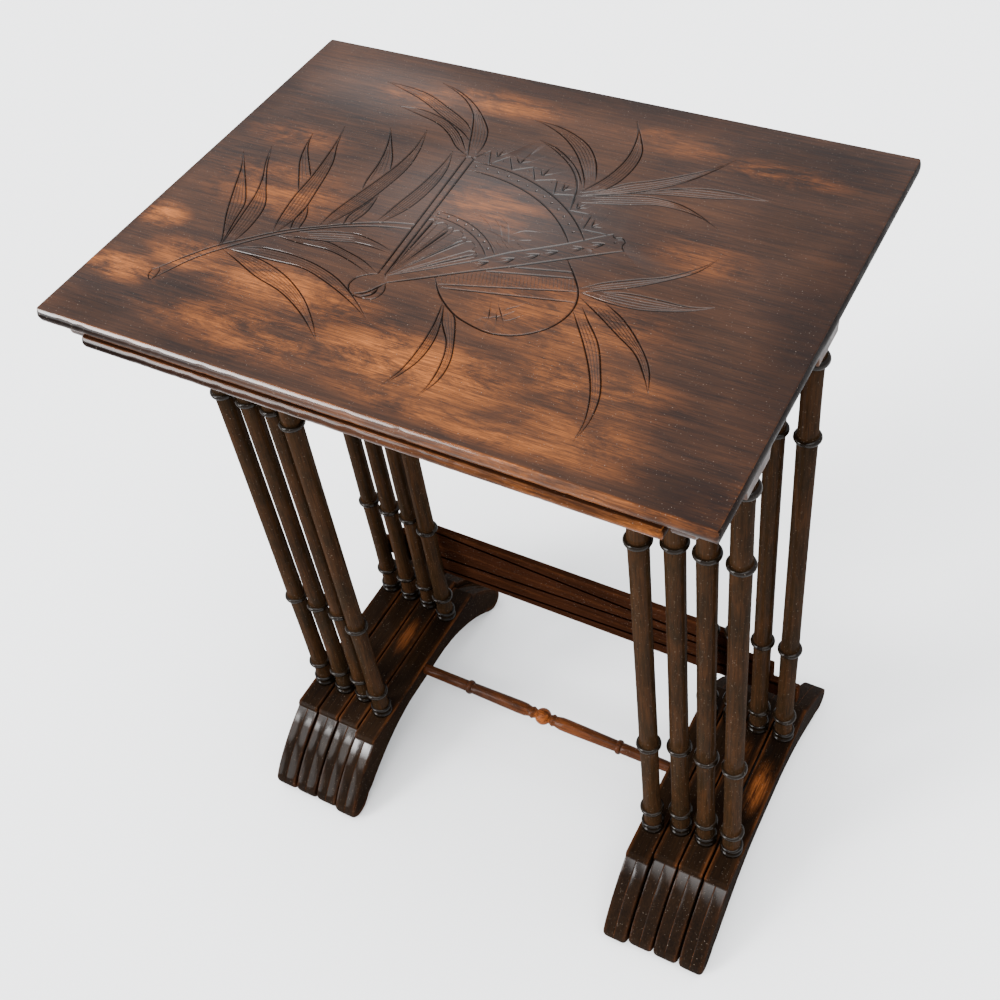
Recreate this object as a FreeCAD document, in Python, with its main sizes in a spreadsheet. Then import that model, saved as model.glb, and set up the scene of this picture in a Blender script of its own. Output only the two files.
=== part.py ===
import FreeCAD, Part
import os
import Sketcher

# A nest of four side tables.  Table 1 is the largest and table 4 the smallest; each stands on two
# sledge runners and slides forwards out of the next larger one.
# Frame: millimetres, origin on the floor under the middle of the nest, +X to the right, -Y forwards,
# +Z up.

doc = FreeCAD.newDocument("nesting_tables")
vec = FreeCAD.Vector

TABLES = (1, 2, 3, 4)
SIDES = (("left", -1), ("right", 1))
ENDS = (("front", -1), ("rear", 1))

# ---------------------------------------------------------------- driving dimensions
sheet = doc.addObject("Spreadsheet::Sheet", "dimensions")
next_row = 1


def cell(alias, value, meaning):
    """One named dimension in the sheet."""
    global next_row
    sheet.set("A%d" % next_row, meaning)
    sheet.set("B%d" % next_row, str(value))
    sheet.setAlias("B%d" % next_row, alias)
    next_row += 1


# per table: half width, front edge, rear edge, upper face and thickness of the top; leg places
TABLE_CELLS = {
    1: dict(top_half=280, top_front=-207.5, top_rear=207.5, top_face=730, top_thick=13, leg_x=250,
            leg_front=-84.5, leg_rear=62, rail_under=672, arm_front=109, arm_rear=113),
    2: dict(top_half=242, top_front=-207, top_rear=192, top_face=713, top_thick=11, leg_x=222,
            leg_front=-84.5, leg_rear=60.5, rail_under=672, arm_front=109, arm_rear=108),
    3: dict(top_half=214, top_front=-192, top_rear=177, top_face=698, top_thick=11, leg_x=194.5,
            leg_front=-84.5, leg_rear=59, rail_under=672, arm_front=109, arm_rear=104),
    4: dict(top_half=186.5, top_front=-180, top_rear=162, top_face=683, top_thick=11, leg_x=167,
            leg_front=-93.5, leg_rear=51, rail_under=660, arm_front=103, arm_rear=95),
}
for number, values in TABLE_CELLS.items():
    for key, value in values.items():
        cell("%s_%s" % (key, "abcd"[number - 1]), value, "table %d: %s" % (number, key.replace("_", " ")))

cell("corner_radius", 3, "corner radius of a top seen from above")
cell("edge_radius", 2.5, "rounding of a top's upper and lower edges")

cell("leg_radius", 9.2, "bamboo stem of a leg")
cell("stem_waist", 8.9, "stem radius midway between two rings")
cell("ring_radius", 12.3, "bamboo ring")
cell("ring_half", 3, "half the height of a bamboo ring")
cell("collar_radius", 13.2, "collar ring at the top of a leg")
cell("collar_height", 633, "collar ring's height")
cell("ring_high", 544, "upper ring's height")
cell("ring_mid", 239, "middle ring's height")
cell("ring_low", 117, "lower ring's height")
cell("foot_ring", 90, "small ring at the leg's foot")
cell("foot_ring_radius", 11.5, "small ring and foot block of a leg")
cell("foot_ring_half", 2.5, "half the height of the small ring")
cell("foot_block", 4, "height of the block that stands on the runner")
cell("foot_cone", 2, "height of the cone between block and stem")
cell("collar_half", 5, "half the height of the collar ring")
cell("tenon_radius", 5, "round tenon at each end of a leg")
cell("tenon_long", 14, "length of a tenon")
cell("bore_radius", 5.05, "bore for a leg's tenon")

cell("bearer_width", 17.5, "width of a bearer")
cell("bearer_offset", 2, "a bearer's middle stands this far outboard of its legs' axes")
cell("lobe_under", 646, "lowest face of a bearer, over each leg")
cell("lobe_half", 22, "half the length of a bearer's lobe")
cell("cove_radius", 26, "cove between lobe and rail")
cell("rail_end_under", 700, "underside of a bearer's thin ends (largest table)")
cell("rail_setback", 9, "bearer's end behind the top's edge")
cell("rail_end_thin", 8, "least thickness of a bearer's ends")
cell("rail_end_rise", 0.28, "share of the ends' rise that is reached midway along them")
cell("screw_past_cove", 14, "an end screw stands this far past its cove")

cell("runner_width", 25.5, "width of a runner")
cell("runner_top", 79, "flat upper face of a runner")
cell("runner_under", 57, "underside of a runner between the legs")
cell("deck_front", 39, "flat upper face reaches this far past a leg's axis")
cell("step_out", 3, "the step below the deck's arris stands out this far")
cell("step_high", 3, "the chamfer above the step drops this far")
cell("step_foot", 7, "foot of the step below the deck")
cell("slope_out", 1.5, "the slope's middle stands this far outside its ends' mean")
cell("slope_mid", 49, "height of the slope midway")
cell("toe_high", 18, "height at which the slope turns into the toe")
cell("toe_inset", 0.9, "the slope's end stands this far inside the toe's end")
cell("toe_bend", 2.8, "the toe's bend stands this far inside its end")
cell("toe_bend_high", 5, "height of the toe's bend")
cell("foot_front", 11, "the flat foot starts this far inside the toe's end")
cell("foot_back", 18, "the flat foot stops this far inside the toe's end")
cell("heel_mid", 26, "the heel's middle stands this far inside the toe's end")
cell("heel_mid_high", 4.5, "height of the heel's middle")
cell("heel_in", 34, "the heel's inner end stands this far inside the toe's end")
cell("heel_high", 13.5, "height of the heel's inner end")
cell("arch_low", 0.47, "share of the arm at which the arch's lower bend lies")
cell("arch_low_high", 27, "height of the arch's lower bend")
cell("arch_high", 0.2, "share of the arm at which the arch's hollow ends")
cell("arch_high_high", 42, "height at which the arch's hollow ends")
cell("arch_turn", 6, "the arch's upper bend stands this far inside the leg's axis")
cell("arch_turn_high", 51.5, "height of the arch's upper bend")
cell("arch_flat", 34, "the arch turns level this far inside the leg's axis")

cell("board_thick", 7.5, "thickness of a rear board")
cell("board_over", 9.5, "rear board's end past the leg's axis")
cell("board_gap", 0.5, "height between two rear boards")
cell("board_base", 135.5, "underside of the lowest rear board")
cell("board_high_a", 25, "height of table 1's rear board")
cell("board_high_b", 26.5, "height of table 2's rear board")
cell("board_high_c", 30, "height of table 3's rear board")
cell("housing_deep", 1.2, "a rear leg lets into its board this deep")
cell("housing_past", 5, "the housing's cutter runs this far past the board's edges")

cell("stretcher_height", 70, "axis height of the stretcher")
cell("stretcher_end_radius", 6, "stretcher beside a runner")
cell("stretcher_mid_radius", 7.5, "stretcher beside its ball")
cell("ball_radius", 9.6, "ball in the stretcher's middle")
cell("ball_neck", 6, "stretcher's neck on either side of the ball")
cell("ball_reach", 0.8, "share of the ball's radius at which the neck meets it")
cell("neck_long", 3, "length of the neck beside the ball")
cell("neck_cone", 12, "the cone outside the neck ends this far from the ball")
cell("stretcher_ring_at", 94, "small rings of the stretcher from its middle")
cell("stretcher_ring_half", 3, "half the length of a small ring")
cell("stretcher_ring_radius", 8.2, "small ring of the stretcher")
cell("stretcher_ring_neck", 6.4, "stretcher beside a small ring")
cell("stretcher_play", 0.2, "end play of the stretcher's tenon")
cell("stretcher_tenon_radius", 3.5, "stretcher's tenon")
cell("stretcher_tenon_long", 10, "stretcher's tenon length")
cell("stretcher_bore_radius", 3.55, "bore for the stretcher's tenon")

cell("screw_radius", 2, "shank of a screw")
cell("screw_bore_radius", 2.05, "bore for a screw's shank")
cell("screw_head_radius", 3.6, "head of a screw")
cell("screw_head_bore_radius", 3.7, "bore for a screw's head")
cell("screw_head_thick", 2, "head thickness of a screw")
cell("screw_bite", 8, "a top screw's length inside the top")
cell("board_screw_long", 15, "length of a rear board's screw")
cell("pilot_deep", 14.2, "bore in a rear leg for its board's screw, from the leg's axis")
cell("sunk", 4, "head depth of a top screw above the bearer's underside")
doc.recompute()


def size(alias):
    """A dimension read back from the sheet."""
    return float(sheet.get(alias))


def own(key, number):
    """A table's own dimension."""
    return size("%s_%s" % (key, "abcd"[number - 1]))


def bearer_x(number):
    """Distance of a bearer's middle from the nest's middle."""
    return own("leg_x", number) + size("bearer_offset")


def ref(key, number=None):
    """The text of an expression that names a cell."""
    return "dimensions." + (key if number is None else "%s_%s" % (key, "abcd"[number - 1]))


# ---------------------------------------------------------------- helpers
def role_plane(body, role):
    """One of a body's own origin planes."""
    return [f for f in body.Origin.OriginFeatures if f.Role == role][0]


def new_body(label):
    """An empty body; its Label names the sub-part."""
    body = doc.addObject("PartDesign::Body", label)
    body.Label = label
    return body


def new_sketch(body, name, role):
    """A sketch on one of the body's own planes."""
    sketch = body.newObject("Sketcher::SketchObject", name)
    sketch.AttachmentSupport = (role_plane(body, role), [""])
    sketch.MapMode = "FlatFace"
    return sketch


def new_feature(body, kind, name, sketch):
    """A sketch-based feature of a body."""
    feature = body.newObject("PartDesign::" + kind, name)
    feature.Profile = sketch
    return feature


def polyline(sketch, points):
    """A closed outline of straight edges through the points; returns the sketch's edge numbers."""
    numbers = []
    for here, there in zip(points, points[1:] + points[:1]):
        numbers.append(sketch.addGeometry(Part.LineSegment(vec(*here, 0), vec(*there, 0)), False))
    for here, there in zip(numbers, numbers[1:] + numbers[:1]):
        sketch.addConstraint(Sketcher.Constraint("Coincident", here, 2, there, 1))
    return numbers


def fixed_outline(sketch, edges):
    """A closed outline of lines and arcs that already meet end to end, each fixed in place."""
    for edge in edges:
        index = sketch.addGeometry(edge, False)
        sketch.addConstraint(Sketcher.Constraint("Block", index))


def cylinder(name, radius, height, base, axis=vec(0, 0, 1)):
    """A Part cylinder; radius and height are expressions, base and axis place it."""
    obj = doc.addObject("Part::Cylinder", name)
    obj.setExpression("Radius", radius)
    obj.setExpression("Height", height)
    obj.Placement = FreeCAD.Placement(base, FreeCAD.Rotation(vec(0, 0, 1), axis))
    return obj


def fuse(name, shapes):
    """A union of Part objects."""
    obj = doc.addObject("Part::MultiFuse", name)
    obj.Shapes = shapes
    return obj


def cut(name, base, tool):
    """A Part object less another."""
    obj = doc.addObject("Part::Cut", name)
    obj.Base = base
    obj.Tool = tool
    return obj


parts = []


def keep(obj, label):
    """Counts an object as a finished sub-part."""
    obj.Label = label
    parts.append(obj)


# ---------------------------------------------------------------- tops
def screw_rows(number):
    """Depth positions of the three screws that hold a bearer to its top."""
    front = own("leg_front", number)
    rear = own("leg_rear", number)
    reach = size("lobe_half") + size("cove_radius") + size("screw_past_cove")
    return (front - reach, (front + rear) / 2, rear + reach)


def make_top(number):
    """A board with rounded corners and rounded upper and lower edges, bored for six screws."""
    label = "table%d_top" % number
    body = new_body(label)
    outline = new_sketch(body, label + "_outline", "XY_Plane")
    half = own("top_half", number)
    front = own("top_front", number)
    rear = own("top_rear", number)
    polyline(outline, [(-half, front), (half, front), (half, rear), (-half, rear)])
    for edge in (0, 2):
        outline.addConstraint(Sketcher.Constraint("Horizontal", edge))
    for edge in (1, 3):
        outline.addConstraint(Sketcher.Constraint("Vertical", edge))
    limits = (
        ("half_left", Sketcher.Constraint("DistanceX", 3, 1, -1, 1, half), "top_half", 1),
        ("half_right", Sketcher.Constraint("DistanceX", -1, 1, 0, 2, half), "top_half", 1),
        ("front_edge", Sketcher.Constraint("DistanceY", 0, 1, -1, 1, -front), "top_front", -1),
        ("rear_edge", Sketcher.Constraint("DistanceY", -1, 1, 2, 1, rear), "top_rear", 1),
    )
    for name, constraint, key, sign in limits:
        index = outline.addConstraint(constraint)
        outline.renameConstraint(index, name)
        outline.setExpression("Constraints." + name, "%d * %s" % (sign, ref(key, number)))
    board = new_feature(body, "Pad", label + "_board", outline)
    board.setExpression("Length", ref("top_thick", number))
    doc.recompute()
    uprights = []
    for index, edge in enumerate(board.Shape.Edges):
        ends = [vertex.Point for vertex in edge.Vertexes]
        if abs(ends[0].z - ends[1].z) > 1:
            uprights.append("Edge%d" % (index + 1))
    corners = body.newObject("PartDesign::Fillet", label + "_corners")
    corners.Base = (board, uprights)
    corners.setExpression("Radius", ref("corner_radius"))
    doc.recompute()
    rims = []
    for index, edge in enumerate(corners.Shape.Edges):
        if abs(edge.BoundBox.ZMax - edge.BoundBox.ZMin) < 0.01:
            rims.append("Edge%d" % (index + 1))
    rounded = body.newObject("PartDesign::Fillet", label + "_edge")
    rounded.Base = (corners, rims)
    rounded.setExpression("Radius", ref("edge_radius"))
    doc.recompute()
    bores = new_sketch(body, label + "_screw_places", "XY_Plane")
    for _, side in SIDES:
        for row in screw_rows(number):
            centre = vec(side * bearer_x(number), row, 0)
            circle = bores.addGeometry(Part.Circle(centre, vec(0, 0, 1), size("screw_bore_radius")), False)
            radius = bores.addConstraint(Sketcher.Constraint("Radius", circle, size("screw_bore_radius")))
            bores.setExpression("Constraints[%d]" % radius, ref("screw_bore_radius"))
    holes = new_feature(body, "Pocket", label + "_screw_bores", bores)
    holes.setExpression("Length", ref("screw_bite"))
    holes.Reversed = True
    body.setExpression("Placement.Base.z", "%s - %s" % (ref("top_face", number), ref("top_thick", number)))
    doc.recompute()
    if holes.Shape.Volume >= rounded.Shape.Volume:
        raise RuntimeError(label + ": the screw bores remove nothing")
    keep(body, label)


# ---------------------------------------------------------------- bearers
def bearer_outline(number):
    """Half of a bearer's side view, as edges from one end's top corner to the other's.

    The rail hangs under the top; each leg has a lobe with a cove either side, and both ends rise
    in a long curve to a thin rounded tip.
    """
    top = own("top_face", number) - own("top_thick", number)
    under = own("rail_under", number)
    lobe = size("lobe_under")
    half = size("lobe_half")
    cove = under - lobe
    reach = min(size("cove_radius"), cove) if cove > 0 else 0
    thin = min(size("rail_end_under"), top - size("rail_end_thin"))
    setback = size("rail_setback")
    tips = (own("top_front", number) + setback, own("top_rear", number) - setback)
    edges = []

    def line(start, end):
        edges.append(Part.LineSegment(vec(*start, 0), vec(*end, 0)))
        return end

    def arc(start, middle, end):
        edges.append(Part.Arc(vec(*start, 0), vec(*middle, 0), vec(*end, 0)))
        return end

    def tip(outer, leg, sign):
        """Rising end, from the rail under the cove out to the top corner; points run outwards."""
        shoulder = leg + sign * (half + reach)
        bend = (outer + shoulder) / 2
        rise = under + (thin - under) * size("rail_end_rise")
        nose = (top - thin) / 2
        return [(shoulder, under), (bend, rise), (outer - sign * nose, thin),
                (outer, thin + nose), (outer, top)]

    front = own("leg_front", number)
    rear = own("leg_rear", number)
    diagonal = 0.5 ** 0.5
    here = (tips[0], top)
    ends = tip(tips[0], front, -1)
    here = line(here, ends[3])
    nose = ends[3][1] - ends[2][1]
    corner = nose * (1 - diagonal)
    here = arc(here, (tips[0] + corner, ends[2][1] + corner), ends[2])
    here = arc(here, ends[1], ends[0])
    for leg, last in ((front, False), (rear, True)):
        left = leg - half - reach
        right = leg + half + reach
        bulge = reach * diagonal
        here = arc(here, (left + bulge, under - cove * (1 - diagonal)), (leg - half, lobe))
        here = line(here, (leg + half, lobe))
        here = arc(here, (right - bulge, under - cove * (1 - diagonal)), (right, under))
        if not last:
            here = line(here, (rear - half - reach, under))
    ends = tip(tips[1], rear, 1)
    here = arc(here, ends[1], ends[2])
    here = arc(here, (tips[1] - corner, ends[2][1] + corner), ends[3])
    here = line(here, ends[4])
    line(here, (tips[0], top))
    return edges


def make_bearer(number, side_name, side):
    """A rail under one end of a top, bored for two legs and three screws."""
    label = "table%d_bearer_%s" % (number, side_name)
    body = new_body(label)
    outline = new_sketch(body, label + "_outline", "YZ_Plane")
    fixed_outline(outline, bearer_outline(number))
    rail = new_feature(body, "Pad", label + "_rail", outline)
    rail.setExpression("Length", ref("bearer_width"))
    rail.Midplane = True
    doc.recompute()
    legs = new_sketch(body, label + "_leg_places", "XY_Plane")
    for end in ("leg_front", "leg_rear"):
        add_hole(legs, own(end, number), "bore_radius", -side * size("bearer_offset"))
    doc.recompute()
    sockets = new_feature(body, "Pocket", label + "_leg_bores", legs)
    sockets.Reversed = True
    sockets.setExpression("Length", "%s + %s" % (ref("lobe_under"), ref("tenon_long")))
    shanks = new_sketch(body, label + "_screw_places", "XY_Plane")
    heads = new_sketch(body, label + "_head_places", "XY_Plane")
    for row in screw_rows(number):
        add_hole(shanks, row, "screw_bore_radius")
        add_hole(heads, row, "screw_head_bore_radius")
    passage = new_feature(body, "Pocket", label + "_screw_bores", shanks)
    passage.Reversed = True
    passage.setExpression("Length", ref("top_face", number))
    sinks = new_feature(body, "Pocket", label + "_head_bores", heads)
    sinks.Reversed = True
    head_top = (ref("rail_under", number), ref("sunk"), ref("screw_head_thick"))
    sinks.setExpression("Length", "%s + %s + %s" % head_top)
    middle = "%d * (%s + %s)" % (side, ref("leg_x", number), ref("bearer_offset"))
    body.setExpression("Placement.Base.x", middle)
    doc.recompute()
    if not rail.Shape.Volume > sockets.Shape.Volume > passage.Shape.Volume > sinks.Shape.Volume:
        raise RuntimeError(label + ": a bore removes nothing")
    keep(body, label)


def add_hole(sketch, row, key, across=0):
    """A round hole at a depth position, on the sketch's own mid-line or beside it."""
    circle = sketch.addGeometry(Part.Circle(vec(across, row, 0), vec(0, 0, 1), size(key)), False)
    radius = sketch.addConstraint(Sketcher.Constraint("Radius", circle, size(key)))
    sketch.setExpression("Constraints[%d]" % radius, ref(key))


# ---------------------------------------------------------------- legs
def leg_profile():
    """Half section of a turned leg as edges, from the foot tenon's centre to the upper tenon's."""
    stem = size("leg_radius")
    waist = size("stem_waist")
    half = size("ring_half")
    foot = size("foot_ring_radius")
    base = size("runner_top")
    head = size("lobe_under")
    tenon = size("tenon_radius")
    reach = size("tenon_long")
    edges = []
    here = [(0, base - reach)]

    def line(radius, height):
        edges.append(Part.LineSegment(vec(*here[0], 0), vec(radius, height, 0)))
        here[0] = (radius, height)

    def arc(middle, end):
        edges.append(Part.Arc(vec(*here[0], 0), vec(*middle, 0), vec(*end, 0)))
        here[0] = end

    def ring(height, radius, half_height):
        """A bead: a half-round swelling out of the stem."""
        arc((radius, height), (stem, height + half_height))

    def stem_to(height):
        """A stretch of stem, slightly thinner midway."""
        line(waist, (here[0][1] + height) / 2)
        line(stem, height)

    line(tenon, base - reach)
    line(tenon, base)
    line(foot, base)
    line(foot, base + size("foot_block"))
    line(stem, base + size("foot_block") + size("foot_cone"))
    line(stem, size("foot_ring") - size("foot_ring_half"))
    ring(size("foot_ring"), foot, size("foot_ring_half"))
    for key in ("ring_low", "ring_mid", "ring_high"):
        stem_to(size(key) - half)
        ring(size(key), size("ring_radius"), half)
    stem_to(size("collar_height") - size("collar_half"))
    ring(size("collar_height"), size("collar_radius"), size("collar_half"))
    line(stem, head)
    line(tenon, head)
    line(tenon, head + reach)
    line(0, head + reach)
    line(0, base - reach)
    return edges


def make_leg(number, end_name, side_name, side):
    """A turned bamboo-pattern leg with a round tenon at each end."""
    label = "table%d_leg_%s_%s" % (number, end_name, side_name)
    body = new_body(label)
    outline = new_sketch(body, label + "_profile", "XZ_Plane")
    fixed_outline(outline, leg_profile())
    turned = new_feature(body, "Revolution", label + "_turned", outline)
    turned.ReferenceAxis = (outline, ["V_Axis"])
    turned.Angle = 360
    if end_name == "rear" and number < 4:
        doc.recompute()
        pilot = new_sketch(body, label + "_pilot_place", "XZ_Plane")
        centre = vec(0, board_middle(number), 0)
        shape = Part.Circle(centre, vec(0, 0, 1), size("screw_bore_radius"))
        circle = pilot.addGeometry(shape, False)
        radius = pilot.addConstraint(Sketcher.Constraint("Radius", circle, size("screw_bore_radius")))
        pilot.setExpression("Constraints[%d]" % radius, ref("screw_bore_radius"))
        bore = new_feature(body, "Pocket", label + "_pilot_bore", pilot)
        bore.setExpression("Length", ref("pilot_deep"))
        doc.recompute()
        if bore.Shape.Volume >= turned.Shape.Volume:
            raise RuntimeError(label + ": the pilot bore removes nothing")
    body.setExpression("Placement.Base.x", "%d * %s" % (side, ref("leg_x", number)))
    body.setExpression("Placement.Base.y", ref("leg_" + end_name, number))
    keep(body, label)


# ---------------------------------------------------------------- runners
def runner_outline(number):
    """A sledge runner's side view as edges.

    A flat deck under both legs ends in a crisp arris and a small step, then a bowed slope runs out
    to a rounded toe; the underside arches over the floor between the toes.
    """
    top = size("runner_top")
    under = size("runner_under")
    deck = size("deck_front")
    edges = []

    def side_points(leg, arm, sign):
        """Points down one end, outwards from the deck's arris and back under the arch."""
        def out(distance, height):
            return (leg + sign * distance, height)
        step = deck + size("step_out")
        return [
            out(deck, top),
            out(step, top - size("step_high")),
            out(step, top - size("step_foot")),
            out((step + arm) / 2 + size("slope_out"), size("slope_mid")),
            out(arm - size("toe_inset"), size("toe_high")),
            out(arm - size("toe_bend"), size("toe_bend_high")),
            out(arm - size("foot_front"), 0),
            out(arm - size("foot_back"), 0),
            out(arm - size("heel_mid"), size("heel_mid_high")),
            out(arm - size("heel_in"), size("heel_high")),
            out(arm * size("arch_low"), size("arch_low_high")),
            out(arm * size("arch_high"), size("arch_high_high")),
            out(-size("arch_turn"), size("arch_turn_high")),
            out(-size("arch_flat"), under),
        ]

    front = side_points(own("leg_front", number), own("arm_front", number), -1)
    rear = side_points(own("leg_rear", number), own("arm_rear", number), 1)

    def line(start, end):
        edges.append(Part.LineSegment(vec(*start, 0), vec(*end, 0)))

    def arc(start, middle, end):
        edges.append(Part.Arc(vec(*start, 0), vec(*middle, 0), vec(*end, 0)))

    line(rear[0], front[0])
    line(front[0], front[1])
    line(front[1], front[2])
    arc(front[2], front[3], front[4])
    arc(front[4], front[5], front[6])
    line(front[6], front[7])
    arc(front[7], front[8], front[9])
    arc(front[9], front[10], front[11])
    arc(front[11], front[12], front[13])
    line(front[13], rear[13])
    arc(rear[13], rear[12], rear[11])
    arc(rear[11], rear[10], rear[9])
    arc(rear[9], rear[8], rear[7])
    line(rear[7], rear[6])
    arc(rear[6], rear[5], rear[4])
    arc(rear[4], rear[3], rear[2])
    line(rear[2], rear[1])
    line(rear[1], rear[0])
    return edges


def make_runner(number, side_name, side):
    """A sledge foot, bored for the two legs of its side (and the stretcher on table 4)."""
    label = "table%d_runner_%s" % (number, side_name)
    body = new_body(label)
    outline = new_sketch(body, label + "_outline", "YZ_Plane")
    fixed_outline(outline, runner_outline(number))
    sledge = new_feature(body, "Pad", label + "_sledge", outline)
    sledge.setExpression("Length", ref("runner_width"))
    sledge.Midplane = True
    doc.recompute()
    deck = new_sketch(body, label + "_leg_places", "XY_Plane")
    deck.setExpression("AttachmentOffset.Base.z", ref("runner_top"))
    for end in ("leg_front", "leg_rear"):
        add_hole(deck, own(end, number), "bore_radius")
    doc.recompute()
    sockets = new_feature(body, "Pocket", label + "_leg_bores", deck)
    sockets.setExpression("Length", ref("tenon_long"))
    doc.recompute()
    if sockets.Shape.Volume >= sledge.Shape.Volume:
        raise RuntimeError(label + ": the leg bores remove nothing")
    if number == 4:
        inner = new_sketch(body, label + "_stretcher_place", "YZ_Plane")
        inner.AttachmentOffset = FreeCAD.Placement(
            vec(0, 0, -side * size("runner_width") / 2), FreeCAD.Rotation())
        centre = vec(stretcher_row(), size("stretcher_height"), 0)
        shape = Part.Circle(centre, vec(0, 0, 1), size("stretcher_bore_radius"))
        circle = inner.addGeometry(shape, False)
        radius = inner.addConstraint(Sketcher.Constraint("Radius", circle, size("stretcher_bore_radius")))
        inner.setExpression("Constraints[%d]" % radius, ref("stretcher_bore_radius"))
        socket = new_feature(body, "Pocket", label + "_stretcher_bore", inner)
        socket.setExpression("Length", ref("stretcher_tenon_long"))
        socket.Reversed = side < 0
        doc.recompute()
        if socket.Shape.Volume >= sockets.Shape.Volume:
            socket.Reversed = side > 0
            doc.recompute()
        if socket.Shape.Volume >= sockets.Shape.Volume:
            raise RuntimeError(label + ": the stretcher bore removes nothing")
    body.setExpression("Placement.Base.x", "%d * %s" % (side, ref("leg_x", number)))
    keep(body, label)


# ---------------------------------------------------------------- rear boards
def board_base(number):
    """Underside of a table's rear board: the boards stand one above another."""
    heights = [size("board_high_" + letter) for letter in "abc"[:number - 1]]
    return size("board_base") + sum(heights) + len(heights) * size("board_gap")


def board_middle(number):
    """Mid height of a rear board."""
    return board_base(number) + size("board_high_" + "abc"[number - 1]) / 2


def board_front(number):
    """Front face of a rear board: the leg lets into it by the housing's depth."""
    return own("leg_rear", number) + size("leg_radius") - size("housing_deep")


def make_rear_board(number):
    """A plain board across the back, housed over both rear legs and screwed to them."""
    label = "table%d_rear_board" % number
    blank = doc.addObject("Part::Box", label + "_blank")
    half = "(%s + %s)" % (ref("leg_x", number), ref("board_over"))
    blank.setExpression("Length", "2 * " + half)
    blank.setExpression("Width", ref("board_thick"))
    blank.setExpression("Height", ref("board_high_" + "abc"[number - 1]))
    blank.setExpression("Placement.Base.x", "-" + half)
    blank.Placement.Base.y = board_front(number)
    blank.Placement.Base.z = board_base(number)
    tools = []
    for side_name, side in SIDES:
        across = side * own("leg_x", number)
        foot = vec(across, own("leg_rear", number), board_base(number) - size("housing_past"))
        name = "%s_%s" % (label, side_name)
        high = "%s + 2 * %s" % (ref("board_high_" + "abc"[number - 1]), ref("housing_past"))
        tools.append(cylinder(name + "_housing", ref("leg_radius"), high, foot))
        back = vec(across, board_front(number) + size("board_thick"), board_middle(number))
        forwards = vec(0, -1, 0)
        through = ref("board_thick")
        sink = ref("screw_head_thick")
        tools.append(cylinder(name + "_shank_bore", ref("screw_bore_radius"), through, back, forwards))
        tools.append(cylinder(name + "_head_bore", ref("screw_head_bore_radius"), sink, back, forwards))
    keep(cut(label, blank, fuse(label + "_cutters", tools)), label)


# ---------------------------------------------------------------- stretcher
def stretcher_row():
    """Depth position of table 4's stretcher: midway between its legs."""
    return (own("leg_front", 4) + own("leg_rear", 4)) / 2


def make_stretcher():
    """A turned rail with a ball in the middle and a small ring part-way along each arm."""
    label = "table4_stretcher"
    body = new_body(label)
    inner = own("leg_x", 4) - size("runner_width") / 2
    thin = size("stretcher_end_radius")
    thick = size("stretcher_mid_radius")
    ball = size("ball_radius")
    neck = size("ball_neck")
    joint = ball * size("ball_reach")
    ring_at = size("stretcher_ring_at")
    ring_half = size("stretcher_ring_half")
    ring_radius = size("stretcher_ring_radius")
    ring_neck = size("stretcher_ring_neck")
    neck_end = ball + size("neck_long")
    cone_end = ball + size("neck_cone")
    tenon = size("stretcher_tenon_radius")
    tip = inner + size("stretcher_tenon_long") - size("stretcher_play")
    outline = new_sketch(body, label + "_profile", "XZ_Plane")
    edges = []
    here = [(-tip, 0)]

    def line(along, radius):
        edges.append(Part.LineSegment(vec(*here[0], 0), vec(along, radius, 0)))
        here[0] = (along, radius)

    def arc(middle, end):
        edges.append(Part.Arc(vec(*here[0], 0), vec(*middle, 0), vec(*end, 0)))
        here[0] = end

    line(-tip, tenon)
    line(-inner, tenon)
    line(-inner, thin)
    line(-ring_at - ring_half, ring_neck)
    arc((-ring_at, ring_radius), (-ring_at + ring_half, ring_neck))
    line(-cone_end, thick)
    line(-neck_end, neck)
    line(-joint, neck)
    arc((0, ball), (joint, neck))
    line(neck_end, neck)
    line(cone_end, thick)
    line(ring_at - ring_half, ring_neck)
    arc((ring_at, ring_radius), (ring_at + ring_half, ring_neck))
    line(inner, thin)
    line(inner, tenon)
    line(tip, tenon)
    line(tip, 0)
    line(-tip, 0)
    fixed_outline(outline, edges)
    turned = new_feature(body, "Revolution", label + "_turned", outline)
    turned.ReferenceAxis = (outline, ["H_Axis"])
    turned.Angle = 360
    body.setExpression("Placement.Base.y", "(%s + %s) / 2" % (ref("leg_front", 4), ref("leg_rear", 4)))
    body.setExpression("Placement.Base.z", ref("stretcher_height"))
    keep(body, label)


# ---------------------------------------------------------------- screws
def make_top_screws(number):
    """Six countersunk screws that hold the two bearers to the top."""
    label = "table%d_top_screws" % number
    head_at = own("rail_under", number) + size("sunk")
    top_under = own("top_face", number) - own("top_thick", number)
    pieces = []
    for side_name, side in SIDES:
        for index, row in enumerate(screw_rows(number)):
            name = "%s_%s_%d" % (label, side_name, index + 1)
            base = vec(side * bearer_x(number), row, head_at)
            length = "%s - %s - %s - %s + %s" % (
                ref("top_face", number), ref("top_thick", number), ref("rail_under", number),
                ref("sunk"), ref("screw_bite"))
            shank = cylinder(name + "_shank", ref("screw_radius"), length, base)
            head = cylinder(name + "_head", ref("screw_head_radius"), ref("screw_head_thick"), base)
            pieces.append(fuse(name, [shank, head]))
    if top_under <= head_at:
        raise RuntimeError(label + ": the heads reach the top")
    group = doc.addObject("Part::Compound", label)
    group.Links = pieces
    keep(group, label)


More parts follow.
